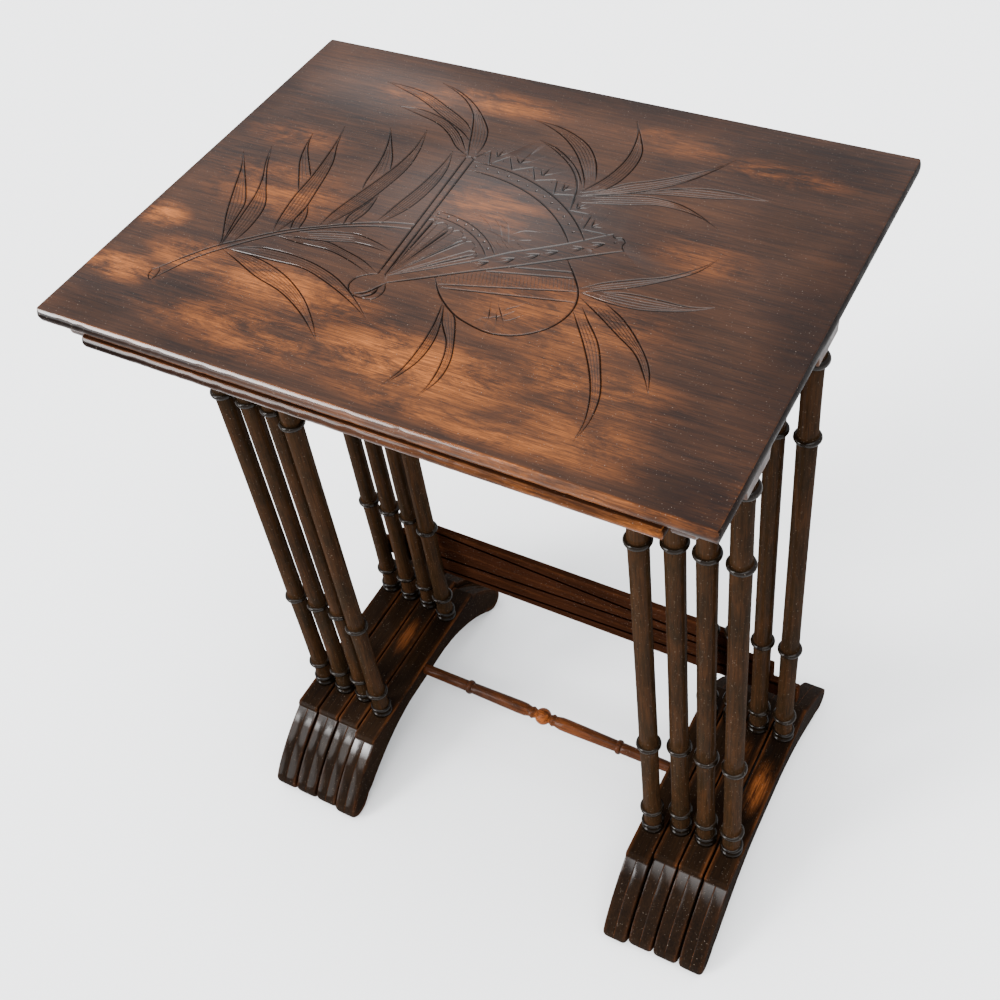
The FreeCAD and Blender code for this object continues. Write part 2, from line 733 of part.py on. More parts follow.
def make_board_screws(number):
    """Two screws that hold a rear board to its legs."""
    label = "table%d_board_screws" % number
    pieces = []
    for side_name, side in SIDES:
        name = "%s_%s" % (label, side_name)
        across = side * own("leg_x", number)
        back = vec(across, board_front(number) + size("board_thick"), board_middle(number))
        forwards = vec(0, -1, 0)
        shank = cylinder(name + "_shank", ref("screw_radius"), ref("board_screw_long"), back, forwards)
        head = cylinder(name + "_head", ref("screw_head_radius"), ref("screw_head_thick"), back, forwards)
        pieces.append(fuse(name, [shank, head]))
    group = doc.addObject("Part::Compound", label)
    group.Links = pieces
    keep(group, label)


# ---------------------------------------------------------------- the nest
for number in TABLES:
    make_top(number)
    for side_name, side in SIDES:
        make_bearer(number, side_name, side)
        for end_name, _ in ENDS:
            make_leg(number, end_name, side_name, side)
        make_runner(number, side_name, side)
    make_top_screws(number)
    if number < 4:
        make_rear_board(number)
        make_board_screws(number)
make_stretcher()
doc.recompute()

for obj in doc.Objects:
    if "Invalid" in obj.State or "Error" in obj.State:
        raise RuntimeError("%s failed: %s" % (obj.Label, obj.State))
os.makedirs("parts", exist_ok=True)
for obj in parts:
    if obj.Shape.isNull() or not obj.Shape.isValid():
        raise RuntimeError(obj.Label + " has no valid shape")
    obj.Shape.exportStep("parts/%s.step" % obj.Label)
print("%d sub-parts written" % len(parts))
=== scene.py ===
"""A nest of four side tables: carved top, bamboo-pattern turned legs, sledge runners."""
import math

import bmesh
import bpy
import numpy as np
from mathutils import Matrix, Vector
from mathutils.geometry import delaunay_2d_cdt


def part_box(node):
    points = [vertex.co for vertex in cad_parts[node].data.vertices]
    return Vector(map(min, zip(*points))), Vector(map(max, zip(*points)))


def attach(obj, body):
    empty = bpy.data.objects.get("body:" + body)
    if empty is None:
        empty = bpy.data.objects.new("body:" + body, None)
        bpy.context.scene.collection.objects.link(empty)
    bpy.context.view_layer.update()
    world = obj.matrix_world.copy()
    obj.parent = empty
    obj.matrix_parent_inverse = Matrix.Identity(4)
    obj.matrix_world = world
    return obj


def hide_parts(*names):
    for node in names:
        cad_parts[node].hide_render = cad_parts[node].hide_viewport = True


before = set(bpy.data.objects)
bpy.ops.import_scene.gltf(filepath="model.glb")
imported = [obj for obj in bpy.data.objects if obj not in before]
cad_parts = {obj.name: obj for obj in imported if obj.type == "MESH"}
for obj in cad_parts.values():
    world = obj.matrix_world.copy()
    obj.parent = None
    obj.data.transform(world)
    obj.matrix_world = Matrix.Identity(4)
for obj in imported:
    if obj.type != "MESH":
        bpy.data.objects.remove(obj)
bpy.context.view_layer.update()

# Lengths in this file are millimetres, in the frame's own axes; MM turns them into metres.
MM = 0.001
TABLES = (1, 2, 3, 4)
SIDES = ("left", "right")
ENDS = ("front", "rear")
ARRIS_STEPS = 4
# Loops on a slab's flat faces: (distance in from the arris, wear).
CAP_RINGS = ((1.6, 0.35), (4.0, 0.0))


# ------------------------------------------------------------------ plain helpers
def box_mm(node):
    """Lowest and highest corner of a CAD node, in millimetres."""
    low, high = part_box(node)
    return low / MM, high / MM


def smooth_curve(points, step=2.0):
    """Points along a centripetal Catmull-Rom curve through the given points, about step apart."""
    knots = np.array(points, float)
    if len(knots) == 2:
        count = max(2, int(np.linalg.norm(knots[1] - knots[0]) / step) + 1)
        return np.linspace(knots[0], knots[1], count)
    first = 2 * knots[0] - knots[1]
    last = 2 * knots[-1] - knots[-2]
    knots = np.vstack([first, knots, last])
    pieces = []
    for a, b, c, d in zip(knots, knots[1:], knots[2:], knots[3:]):
        t1 = max(np.linalg.norm(b - a), 1e-6) ** 0.5
        t2 = t1 + max(np.linalg.norm(c - b), 1e-6) ** 0.5
        t3 = t2 + max(np.linalg.norm(d - c), 1e-6) ** 0.5
        count = max(2, int(np.linalg.norm(c - b) / step) + 1)
        t = np.linspace(t1, t2, count, endpoint=False)[:, None]
        ab = a * (t1 - t) / t1 + b * t / t1
        bc = b * (t2 - t) / (t2 - t1) + c * (t - t1) / (t2 - t1)
        cd = c * (t3 - t) / (t3 - t2) + d * (t - t2) / (t3 - t2)
        abc = ab * (t2 - t) / t2 + bc * t / t2
        bcd = bc * (t3 - t) / (t3 - t1) + cd * (t - t1) / (t3 - t1)
        pieces.append(abc * (t2 - t) / (t2 - t1) + bcd * (t - t1) / (t2 - t1))
    pieces.append(knots[-2][None, :])
    return np.vstack(pieces)


def arc_points(centre, radius, start, end, step=3.0):
    """Points along a circular arc; angles in degrees."""
    count = max(3, int(abs(math.radians(end - start)) * radius / step) + 1)
    angles = np.radians(np.linspace(start, end, count))
    return np.stack([centre[0] + radius * np.cos(angles), centre[1] + radius * np.sin(angles)], 1)


def filleted(corners, steps=5):
    """A closed outline from (a, b, radius) corners; each corner with a radius is rounded."""
    out = []
    count = len(corners)
    for i, (a, b, radius) in enumerate(corners):
        here = np.array([a, b], float)
        before = np.array(corners[i - 1][:2], float) - here
        after = np.array(corners[(i + 1) % count][:2], float) - here
        if radius <= 0:
            out.append(here)
            continue
        before /= np.linalg.norm(before)
        after /= np.linalg.norm(after)
        half = math.acos(max(-1.0, min(1.0, float(before @ after)))) / 2
        reach = radius / math.tan(half)
        middle = here + (before + after) / np.linalg.norm(before + after) * radius / math.sin(half)
        start = here + before * reach - middle
        end = here + after * reach - middle
        turn = math.atan2(start[0] * end[1] - start[1] * end[0], float(start @ end))
        for k in range(steps + 1):
            angle = turn * k / steps
            cos, sin = math.cos(angle), math.sin(angle)
            out.append(middle + np.array([start[0] * cos - start[1] * sin, start[0] * sin + start[1] * cos]))
    return np.array(out)


def outward_normals(outline):
    """Unit normals of a closed counter-clockwise outline, pointing out, one per point."""
    ahead = np.roll(outline, -1, 0) - outline
    ahead /= np.maximum(np.linalg.norm(ahead, axis=1, keepdims=True), 1e-9)
    behind = np.roll(ahead, 1, 0)
    normal = np.stack([ahead[:, 1] + behind[:, 1], -ahead[:, 0] - behind[:, 0]], 1)
    length = np.maximum(np.linalg.norm(normal, axis=1, keepdims=True), 1e-6)
    normal /= length
    stretch = 2 / np.maximum(length, 0.8)
    return normal * stretch


def signed_area(outline):
    """Positive for a counter-clockwise outline."""
    ahead = np.roll(outline, -1, 0)
    return 0.5 * float(np.sum(outline[:, 0] * ahead[:, 1] - ahead[:, 0] * outline[:, 1]))


def new_object(name, mesh, sharp_degrees=32):
    """Links a mesh as an object, smooth shaded up to an angle."""
    obj = bpy.data.objects.new(name, mesh)
    bpy.context.scene.collection.objects.link(obj)
    mesh.shade_smooth()
    mesh.set_sharp_from_angle(angle=math.radians(sharp_degrees))
    return obj


def raw_mesh(name, verts, faces, **painted):
    """A mesh of millimetre points; painted gives values per vertex that the materials read."""
    mesh = bpy.data.meshes.new(name)
    mesh.from_pydata([Vector(v) * MM for v in verts], [], faces)
    for attribute, values in painted.items():
        layer = mesh.attributes.new(attribute, "FLOAT", "POINT")
        layer.data.foreach_set("value", np.asarray(values, np.float32))
    return mesh


def solid_mesh(name, verts, faces, **painted):
    """A raw mesh with its faces turned outwards and its large caps cut into triangles."""
    mesh = raw_mesh(name, verts, faces, **painted)
    bm = bmesh.new()
    bm.from_mesh(mesh)
    bmesh.ops.recalc_face_normals(bm, faces=bm.faces)
    bmesh.ops.triangulate(bm, faces=[f for f in bm.faces if len(f.verts) > 4])
    bm.to_mesh(mesh)
    bm.free()
    return mesh


def rounded_stations(half, edge, calm=1.6):
    """Across a slab: (offset, inset, wear) from one face to the other, with rounded arrises."""
    one_side = []
    for k in range(ARRIS_STEPS + 1):
        angle = math.pi / 2 * (1 - k / ARRIS_STEPS)
        one_side.append((half - edge + edge * math.sin(angle), edge * (1 - math.cos(angle)), 1.0))
    one_side.append((half - edge - calm, 0.0, 0.25))
    one_side.append((half - edge - 2.5 * calm, 0.0, 0.0))
    other = [(-offset, inset, wear) for offset, inset, wear in reversed(one_side)]
    return one_side + other


def slab_mesh(name, outline, stations, place, deepen=lambda point, offset: 0.0,
              rub=lambda point, offset: 1.0, shine=lambda point, offset: 0.0):
    """A slab: a closed outline carried across its thickness.

    stations: (offset across, inset of the outline, wear).  place maps (a, b, across) to a 3-D point
    in millimetres.  deepen(point, offset) insets single places further, rub scales the wear and
    shine adds gloss.  Extra loops on both flat faces let the wear fade off quickly.
    """
    if signed_area(outline) < 0:
        outline = outline[::-1]
    normals = outward_normals(outline)
    count = len(outline)
    first, last = stations[0], stations[-1]
    loops = [(first[0], first[1] + ring, rubbed) for ring, rubbed in reversed(CAP_RINGS)] + list(stations)
    loops += [(last[0], last[1] + ring, rubbed) for ring, rubbed in CAP_RINGS]
    verts, wear, polish, faces = [], [], [], []
    for offset, inset, rubbed in loops:
        for point, normal in zip(outline, normals):
            a, b = point - normal * (inset + deepen(point, offset))
            verts.append(place(a, b, offset))
            wear.append(rubbed * rub(point, offset))
            polish.append(shine(point, offset))
    for low in range(0, len(verts) - count, count):
        high = low + count
        for i in range(count):
            j = (i + 1) % count
            faces.append((low + i, low + j, high + j, high + i))
    faces.append(tuple(range(count))[::-1])
    faces.append(tuple(range(len(verts) - count, len(verts))))
    return solid_mesh(name, verts, faces, wear=wear, polish=polish)


def lathe_mesh(name, profile, place, segments, paint):
    """Turns a (radius, along) profile; place maps (x, y, along) to a 3-D point in millimetres.

    paint(radius, along) gives the wear, polish and darkening of a place.
    """
    verts, painted, faces = [], [], []
    for radius, along_axis in profile[1:-1]:
        for k in range(segments):
            angle = 2 * math.pi * k / segments
            verts.append(place(radius * math.cos(angle), radius * math.sin(angle), along_axis))
            painted.append(paint(radius, along_axis))
    rows = len(profile) - 2
    for row in range(rows - 1):
        for k in range(segments):
            j = (k + 1) % segments
            low, high = row * segments, (row + 1) * segments
            faces.append((low + k, low + j, high + j, high + k))
    for tip, row, flip in ((profile[0], 0, False), (profile[-1], rows - 1, True)):
        verts.append(place(0, 0, tip[1]))
        painted.append((0.0, 0.0, 0.0))
        centre = len(verts) - 1
        for k in range(segments):
            a, b = row * segments + k, row * segments + (k + 1) % segments
            faces.append((centre, a, b) if flip else (centre, b, a))
    wear, polish, dark = zip(*painted)
    return solid_mesh(name, verts, faces, wear=wear, polish=polish, cut=dark)


# ------------------------------------------------------------------ materials
class Nodes:
    """A small wrapper that adds and joins shader nodes."""

    def __init__(self, name):
        self.material = bpy.data.materials.new(name)
        self.material.use_nodes = True
        self.tree = self.material.node_tree
        self.tree.nodes.clear()
        self.output = self.tree.nodes.new("ShaderNodeOutputMaterial")
        self.shader = self.tree.nodes.new("ShaderNodeBsdfPrincipled")
        self.link(self.shader.outputs["BSDF"], self.output.inputs["Surface"])

    def link(self, source, target):
        self.tree.links.new(source, target)

    def put(self, value, socket):
        """Joins a socket to another's output, or sets its value."""
        if isinstance(value, bpy.types.NodeSocket):
            self.link(value, socket)
        else:
            socket.default_value = value

    def coordinates(self, scale, shift):
        """Object coordinates in metres, scaled and then shifted."""
        source = self.tree.nodes.new("ShaderNodeTexCoord")
        mapping = self.tree.nodes.new("ShaderNodeMapping")
        mapping.inputs["Scale"].default_value = scale
        mapping.inputs["Location"].default_value = shift
        self.link(source.outputs["Object"], mapping.inputs["Vector"])
        return mapping.outputs["Vector"]

    def noise(self, scale, shift=(0, 0, 0), detail=3.0, rough=0.55, distortion=0.0):
        """Noise, from 0 to 1; scale is per axis, in cycles per metre."""
        node = self.tree.nodes.new("ShaderNodeTexNoise")
        node.inputs["Scale"].default_value = 1.0
        node.inputs["Detail"].default_value = detail
        node.inputs["Roughness"].default_value = rough
        node.inputs["Distortion"].default_value = distortion
        self.link(self.coordinates(scale, shift), node.inputs["Vector"])
        return node.outputs["Fac"]

    def math(self, operation, a, b, clamp=False):
        node = self.tree.nodes.new("ShaderNodeMath")
        node.operation = operation
        node.use_clamp = clamp
        self.put(a, node.inputs[0])
        self.put(b, node.inputs[1])
        return node.outputs[0]

    def times(self, a, b, clamp=False):
        return self.math("MULTIPLY", a, b, clamp)

    def plus(self, a, b, clamp=False):
        return self.math("ADD", a, b, clamp)

    def less(self, a, share):
        """One less a share of a."""
        return self.math("SUBTRACT", 1.0, self.times(a, share))

    def ramp(self, value, low, high, out_low=0.0, out_high=1.0):
        """Smooth step from low to high."""
        node = self.tree.nodes.new("ShaderNodeMapRange")
        node.interpolation_type = "SMOOTHSTEP"
        self.put(value, node.inputs["Value"])
        node.inputs["From Min"].default_value = low
        node.inputs["From Max"].default_value = high
        node.inputs["To Min"].default_value = out_low
        node.inputs["To Max"].default_value = out_high
        return node.outputs["Result"]

    def mix(self, factor, a, b):
        """Mixes two colours."""
        node = self.tree.nodes.new("ShaderNodeMix")
        node.data_type = "RGBA"
        self.put(factor, node.inputs["Factor"])
        for value, socket in ((a, node.inputs[6]), (b, node.inputs[7])):
            self.put(value if isinstance(value, bpy.types.NodeSocket) else (*value, 1.0), socket)
        return node.outputs[2]

    def painted(self, name):
        """A value that the mesh holds at each vertex, such as wear."""
        node = self.tree.nodes.new("ShaderNodeAttribute")
        node.attribute_name = name
        return node.outputs["Fac"]

    def blob(self, centre, size):
        """1 at a point in plan, falling to 0 at size (x, y) from it; millimetres."""
        scale = (1 / (size[0] * MM), 1 / (size[1] * MM), 0)
        shift = (-centre[0] / size[0], -centre[1] / size[1], 0)
        length = self.tree.nodes.new("ShaderNodeVectorMath")
        length.operation = "LENGTH"
        self.link(self.coordinates(scale, shift), length.inputs[0])
        return self.ramp(length.outputs["Value"], 1.0, 0.15)

    def bump(self, heights, distance):
        """A normal from a height; distance in millimetres."""
        node = self.tree.nodes.new("ShaderNodeBump")
        node.inputs["Strength"].default_value = 1.0
        node.inputs["Distance"].default_value = distance * MM
        self.link(heights, node.inputs["Height"])
        self.link(node.outputs["Normal"], self.shader.inputs["Normal"])


DUST = (0.30, 0.24, 0.19)
GRAIN_X = (0, 1, 2)
GRAIN_Y = (1, 0, 2)
GRAIN_Z = (2, 1, 0)


def along(order, long, side, deep):
    """Texture scale with the long direction of the grain on the first axis of order."""
    scale = [0, 0, 0]
    for axis, value in zip(order, (long, side, deep)):
        scale[axis] = value
    return tuple(scale)


def polished_wood(name, grain, dark, brown, rubbed, rub_gain=1.0, figure=0.5, rough=0.3, coat=0.0,
                  gloss_level=0.0, patches=(), shades=(), sheens=(), shift=(0, 0, 0)):
    """Old dark-stained wood under worn polish.

    Fine grain runs along one axis, the colour drifts between dark and brown, and the stain has
    rubbed through to a warmer colour on arrises (the wear value) and in named patches; named
    shades are painted darker and less glossy, partly the stain's own dark places and partly
    painted shade; named sheens are glossier; the cut value darkens the colour with the black wax
    of the cuts, the legs' dark rings and feet, and painted shade on the tops' edges; and the
    polish value adds gloss.
    """
    n = Nodes(name)
    streaks = n.noise(along(grain, 24, 620, 620), shift, detail=5, rough=0.68, distortion=0.25)
    bands = n.noise(along(grain, 4.5, 70, 70), shift, detail=5, rough=0.62, distortion=0.5)
    drift = n.noise((7, 9, 7), shift)
    pores = n.noise(along(grain, 70, 1500, 1500), shift, detail=2, rough=0.5)
    cloud = n.noise(along(grain, 16, 46, 46), shift, detail=8, rough=0.74, distortion=0.5)
    specks = n.noise((900, 900, 900), shift, detail=1, rough=0.4)
    gloss = n.noise((24, 30, 24), shift, detail=4, rough=0.6)
    waves = n.noise((45, 55, 45), shift, detail=2, rough=0.5)
    dark_pore = n.ramp(pores, 0.36, 0.3)
    cut = n.ramp(n.painted("cut"), 0.3, 0.8)

    # from dark to brown
    tone = n.plus(n.times(n.ramp(streaks, 0.36, 0.66), 0.45), n.times(n.ramp(bands, 0.3, 0.72), 0.3))
    tone = n.plus(tone, n.times(n.ramp(drift, 0.35, 0.7), figure))
    colour = n.mix(n.times(tone, 0.72, clamp=True), dark, brown)

    # where the stain is rubbed through
    worn = n.times(n.times(n.painted("wear"), rub_gain), n.ramp(cloud, 0.36, 0.62, 0.1, 1.0))
    for centre, size, strength in patches:
        spot = n.times(n.times(n.blob(centre, size), strength), n.ramp(cloud, 0.38, 0.62, 0.05, 1.0))
        worn = n.math("MAXIMUM", worn, spot)
    worn = n.times(worn, n.ramp(streaks, 0.34, 0.62, 0.45, 1.0))
    worn = n.times(worn, n.ramp(pores, 0.38, 0.6, 0.6, 1.05), clamp=True)
    colour = n.mix(worn, colour, rubbed)

    varnish = n.times(n.less(cut, 1.0), coat)
    # painted shade: the named shades pull the colour towards the dark colour and thin the coat; partly the
    # stain's own dark places, partly painted shade
    if shades:
        shaded = 0.0
        for centre, size, strength in shades:
            shaded = n.math("MAXIMUM", shaded, n.times(n.blob(centre, size), strength))
        colour = n.mix(n.times(shaded, n.ramp(cloud, 0.3, 0.6, 1.0, 0.7)), colour, dark)
        varnish = n.times(varnish, n.less(shaded, 0.55))
    for centre, size, strength in sheens:
        varnish = n.plus(varnish, n.times(n.blob(centre, size), strength))

    # the cut value: black wax in the carved cuts, the legs' dark rings and feet, and painted shade on the
    # tops' edges; then dark pores and a few pale specks of dust
    colour = n.mix(n.times(cut, 0.9), colour, tuple(c * 0.3 for c in dark))
    colour = n.mix(n.times(dark_pore, 0.55), colour, tuple(c * 0.35 for c in dark))
    colour = n.mix(n.times(n.ramp(specks, 0.735, 0.77), 0.35), colour, DUST)

    roughness = n.plus(n.ramp(gloss, 0.3, 0.7, rough - 0.06, rough + 0.12), n.times(worn, 0.12), clamp=True)
    roughness = n.plus(roughness, n.times(dark_pore, 0.15), clamp=True)
    roughness = n.plus(roughness, n.times(cut, 0.12), clamp=True)
    inputs = n.shader.inputs
    n.link(colour, inputs["Base Color"])
    n.link(roughness, inputs["Roughness"])
    inputs["IOR"].default_value = 1.5
    n.link(n.times(n.less(cut, 0.85), gloss_level), inputs["Specular IOR Level"])
    n.link(n.plus(varnish, n.painted("polish"), clamp=True), inputs["Coat Weight"])
    inputs["Coat Roughness"].default_value = 0.12
    heights = n.plus(n.times(streaks, 0.25), n.times(waves, 0.22))
    n.bump(n.plus(heights, n.times(dark_pore, -0.12)), 0.35)
    return n.material


def steel(name):
    """Dull screw steel with a brown tarnish."""
    n = Nodes(name)
    stain = n.noise((300, 300, 300), detail=4)
    n.link(n.mix(n.ramp(stain, 0.4, 0.65), (0.20, 0.18, 0.16), (0.09, 0.05, 0.03)),
           n.shader.inputs["Base Color"])
    n.shader.inputs["Metallic"].default_value = 1.0
    n.link(n.ramp(stain, 0.3, 0.7, 0.35, 0.6), n.shader.inputs["Roughness"])
    n.bump(stain, 0.05)
    return n.material


# Places where the top's stain has rubbed through: centre, half size (mm) and strength.
TOP_PATCHES = (
    ((-262, -72), (34, 22), 1.0), ((-250, -140), (54, 24), 0.95), ((-205, -108), (56, 28), 0.65),
    ((-190, -10), (90, 46), 0.5), ((-80, 165), (90, 26), 0.55), ((-150, 150), (60, 22), 0.4),
    ((-105, -115), (110, 34), 0.75), ((-110, -165), (120, 36), 0.65), ((20, -150), (130, 44), 0.8),
    ((150, -120), (90, 36), 0.5), ((190, 150), (70, 20), 0.55), ((90, 160), (80, 24), 0.3),
    ((95, -185), (160, 18), 0.6), ((160, -165), (80, 34), 0.4), ((-10, 30), (70, 40), 0.4),
    ((170, 30), (60, 30), 0.25), ((-215, 60), (70, 24), 0.3), ((100, -70), (120, 60), 0.4),
)
# Places painted darker and less glossy: partly the stain's own dark places, partly painted shade where the
# top's reflection is dimmer.
TOP_SHADES = (
    ((286, 0), (78, 260), 0.95), ((-150, -150), (100, 40), 0.35), ((272, -196), (100, 60), 0.95),
    ((215, 165), (120, 70), 0.7), ((235, -120), (70, 90), 0.35), ((0, 214), (330, 60), 0.85),
    ((-286, 120), (40, 130), 0.6), ((-286, -60), (20, 140), 0.55), ((-245, -190), (60, 30), 0.6),
    ((-60, -120), (60, 40), 0.4), ((230, 90), (80, 60), 0.5), ((180, -30), (70, 50), 0.35),
    ((-150, -195), (90, 22), 0.4), ((60, 60), (90, 60), 0.3), ((-20, 100), (160, 50), 0.25),
)
# Places where the polish is thickest.
TOP_SHEENS = (((-10, 30), (150, 110), 0.5), ((-170, 150), (120, 60), 0.3))
RUNNER_PATCHES = (((250, -8), (13, 44), 1.0), ((-194, 4), (11, 36), 0.55), ((222, 20), (9, 30), 0.3))

# Each wood: the axis of its grain, then its dark, brown and rubbed-through colours.
WOODS = {
    "top_wood": (GRAIN_X, (0.0070, 0.0042, 0.0036), (0.058, 0.0225, 0.0095), (0.33, 0.098, 0.019),
                 {"figure": 0.42, "coat": 0.22, "gloss_level": 0.04, "patches": TOP_PATCHES,
                  "shades": TOP_SHADES, "sheens": TOP_SHEENS}),
    "inner_top_wood": (GRAIN_X, (0.007, 0.0033, 0.0022), (0.038, 0.0125, 0.005), (0.32, 0.100, 0.020),
                       {"rub_gain": 0.8, "rough": 0.24, "coat": 0.10, "gloss_level": 0.02,
                        "shift": (3.1, 1.7, 0.4)}),
    "bearer_wood": (GRAIN_Y, (0.009, 0.0052, 0.004), (0.034, 0.015, 0.009), (0.20, 0.08, 0.03),
                    {"rub_gain": 0.4, "rough": 0.4, "gloss_level": 0.10, "shift": (1.3, 5.2, 2.2)}),
    "leg_wood": (GRAIN_Z, (0.0070, 0.0042, 0.0022), (0.0175, 0.0104, 0.0052), (0.070, 0.024, 0.008),
                 {"rub_gain": 0.7, "figure": 0.35, "rough": 0.28, "coat": 0.03, "shift": (4.4, 0.3, 1.9)}),
    "runner_wood": (GRAIN_Y, (0.0030, 0.0019, 0.0014), (0.0135, 0.0068, 0.0032), (0.19, 0.056, 0.014),
                    {"rub_gain": 0.4, "rough": 0.26, "coat": 0.02, "patches": RUNNER_PATCHES,
                     "shift": (2.2, 2.9, 6.1)}),
    "board_wood": (GRAIN_X, (0.0070, 0.0027, 0.0014), (0.028, 0.0092, 0.0042), (0.13, 0.042, 0.013),
                   {"rub_gain": 0.2, "rough": 0.42, "shift": (5.0, 4.0, 1.0)}),
    "stretcher_wood": (GRAIN_X, (0.008, 0.0036, 0.002), (0.033, 0.0105, 0.0040), (0.24, 0.064, 0.013),
                       {"rub_gain": 0.9, "rough": 0.26, "coat": 0.06, "gloss_level": 0.02,
                        "shift": (0.7, 3.3, 2.8)}),
}
MATERIALS = {name: polished_wood(name, *colours, **more) for name, (*colours, more) in WOODS.items()}
MATERIALS["screw_steel"] = steel("screw_steel")


def finish_piece(obj, body, material, slot, *nodes):
    """Gives a piece its material, the body it rides on and the CAD nodes it stands for."""
    obj.data.materials.clear()
    obj.data.materials.append(MATERIALS[material])
    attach(obj, body)
    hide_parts(*nodes)


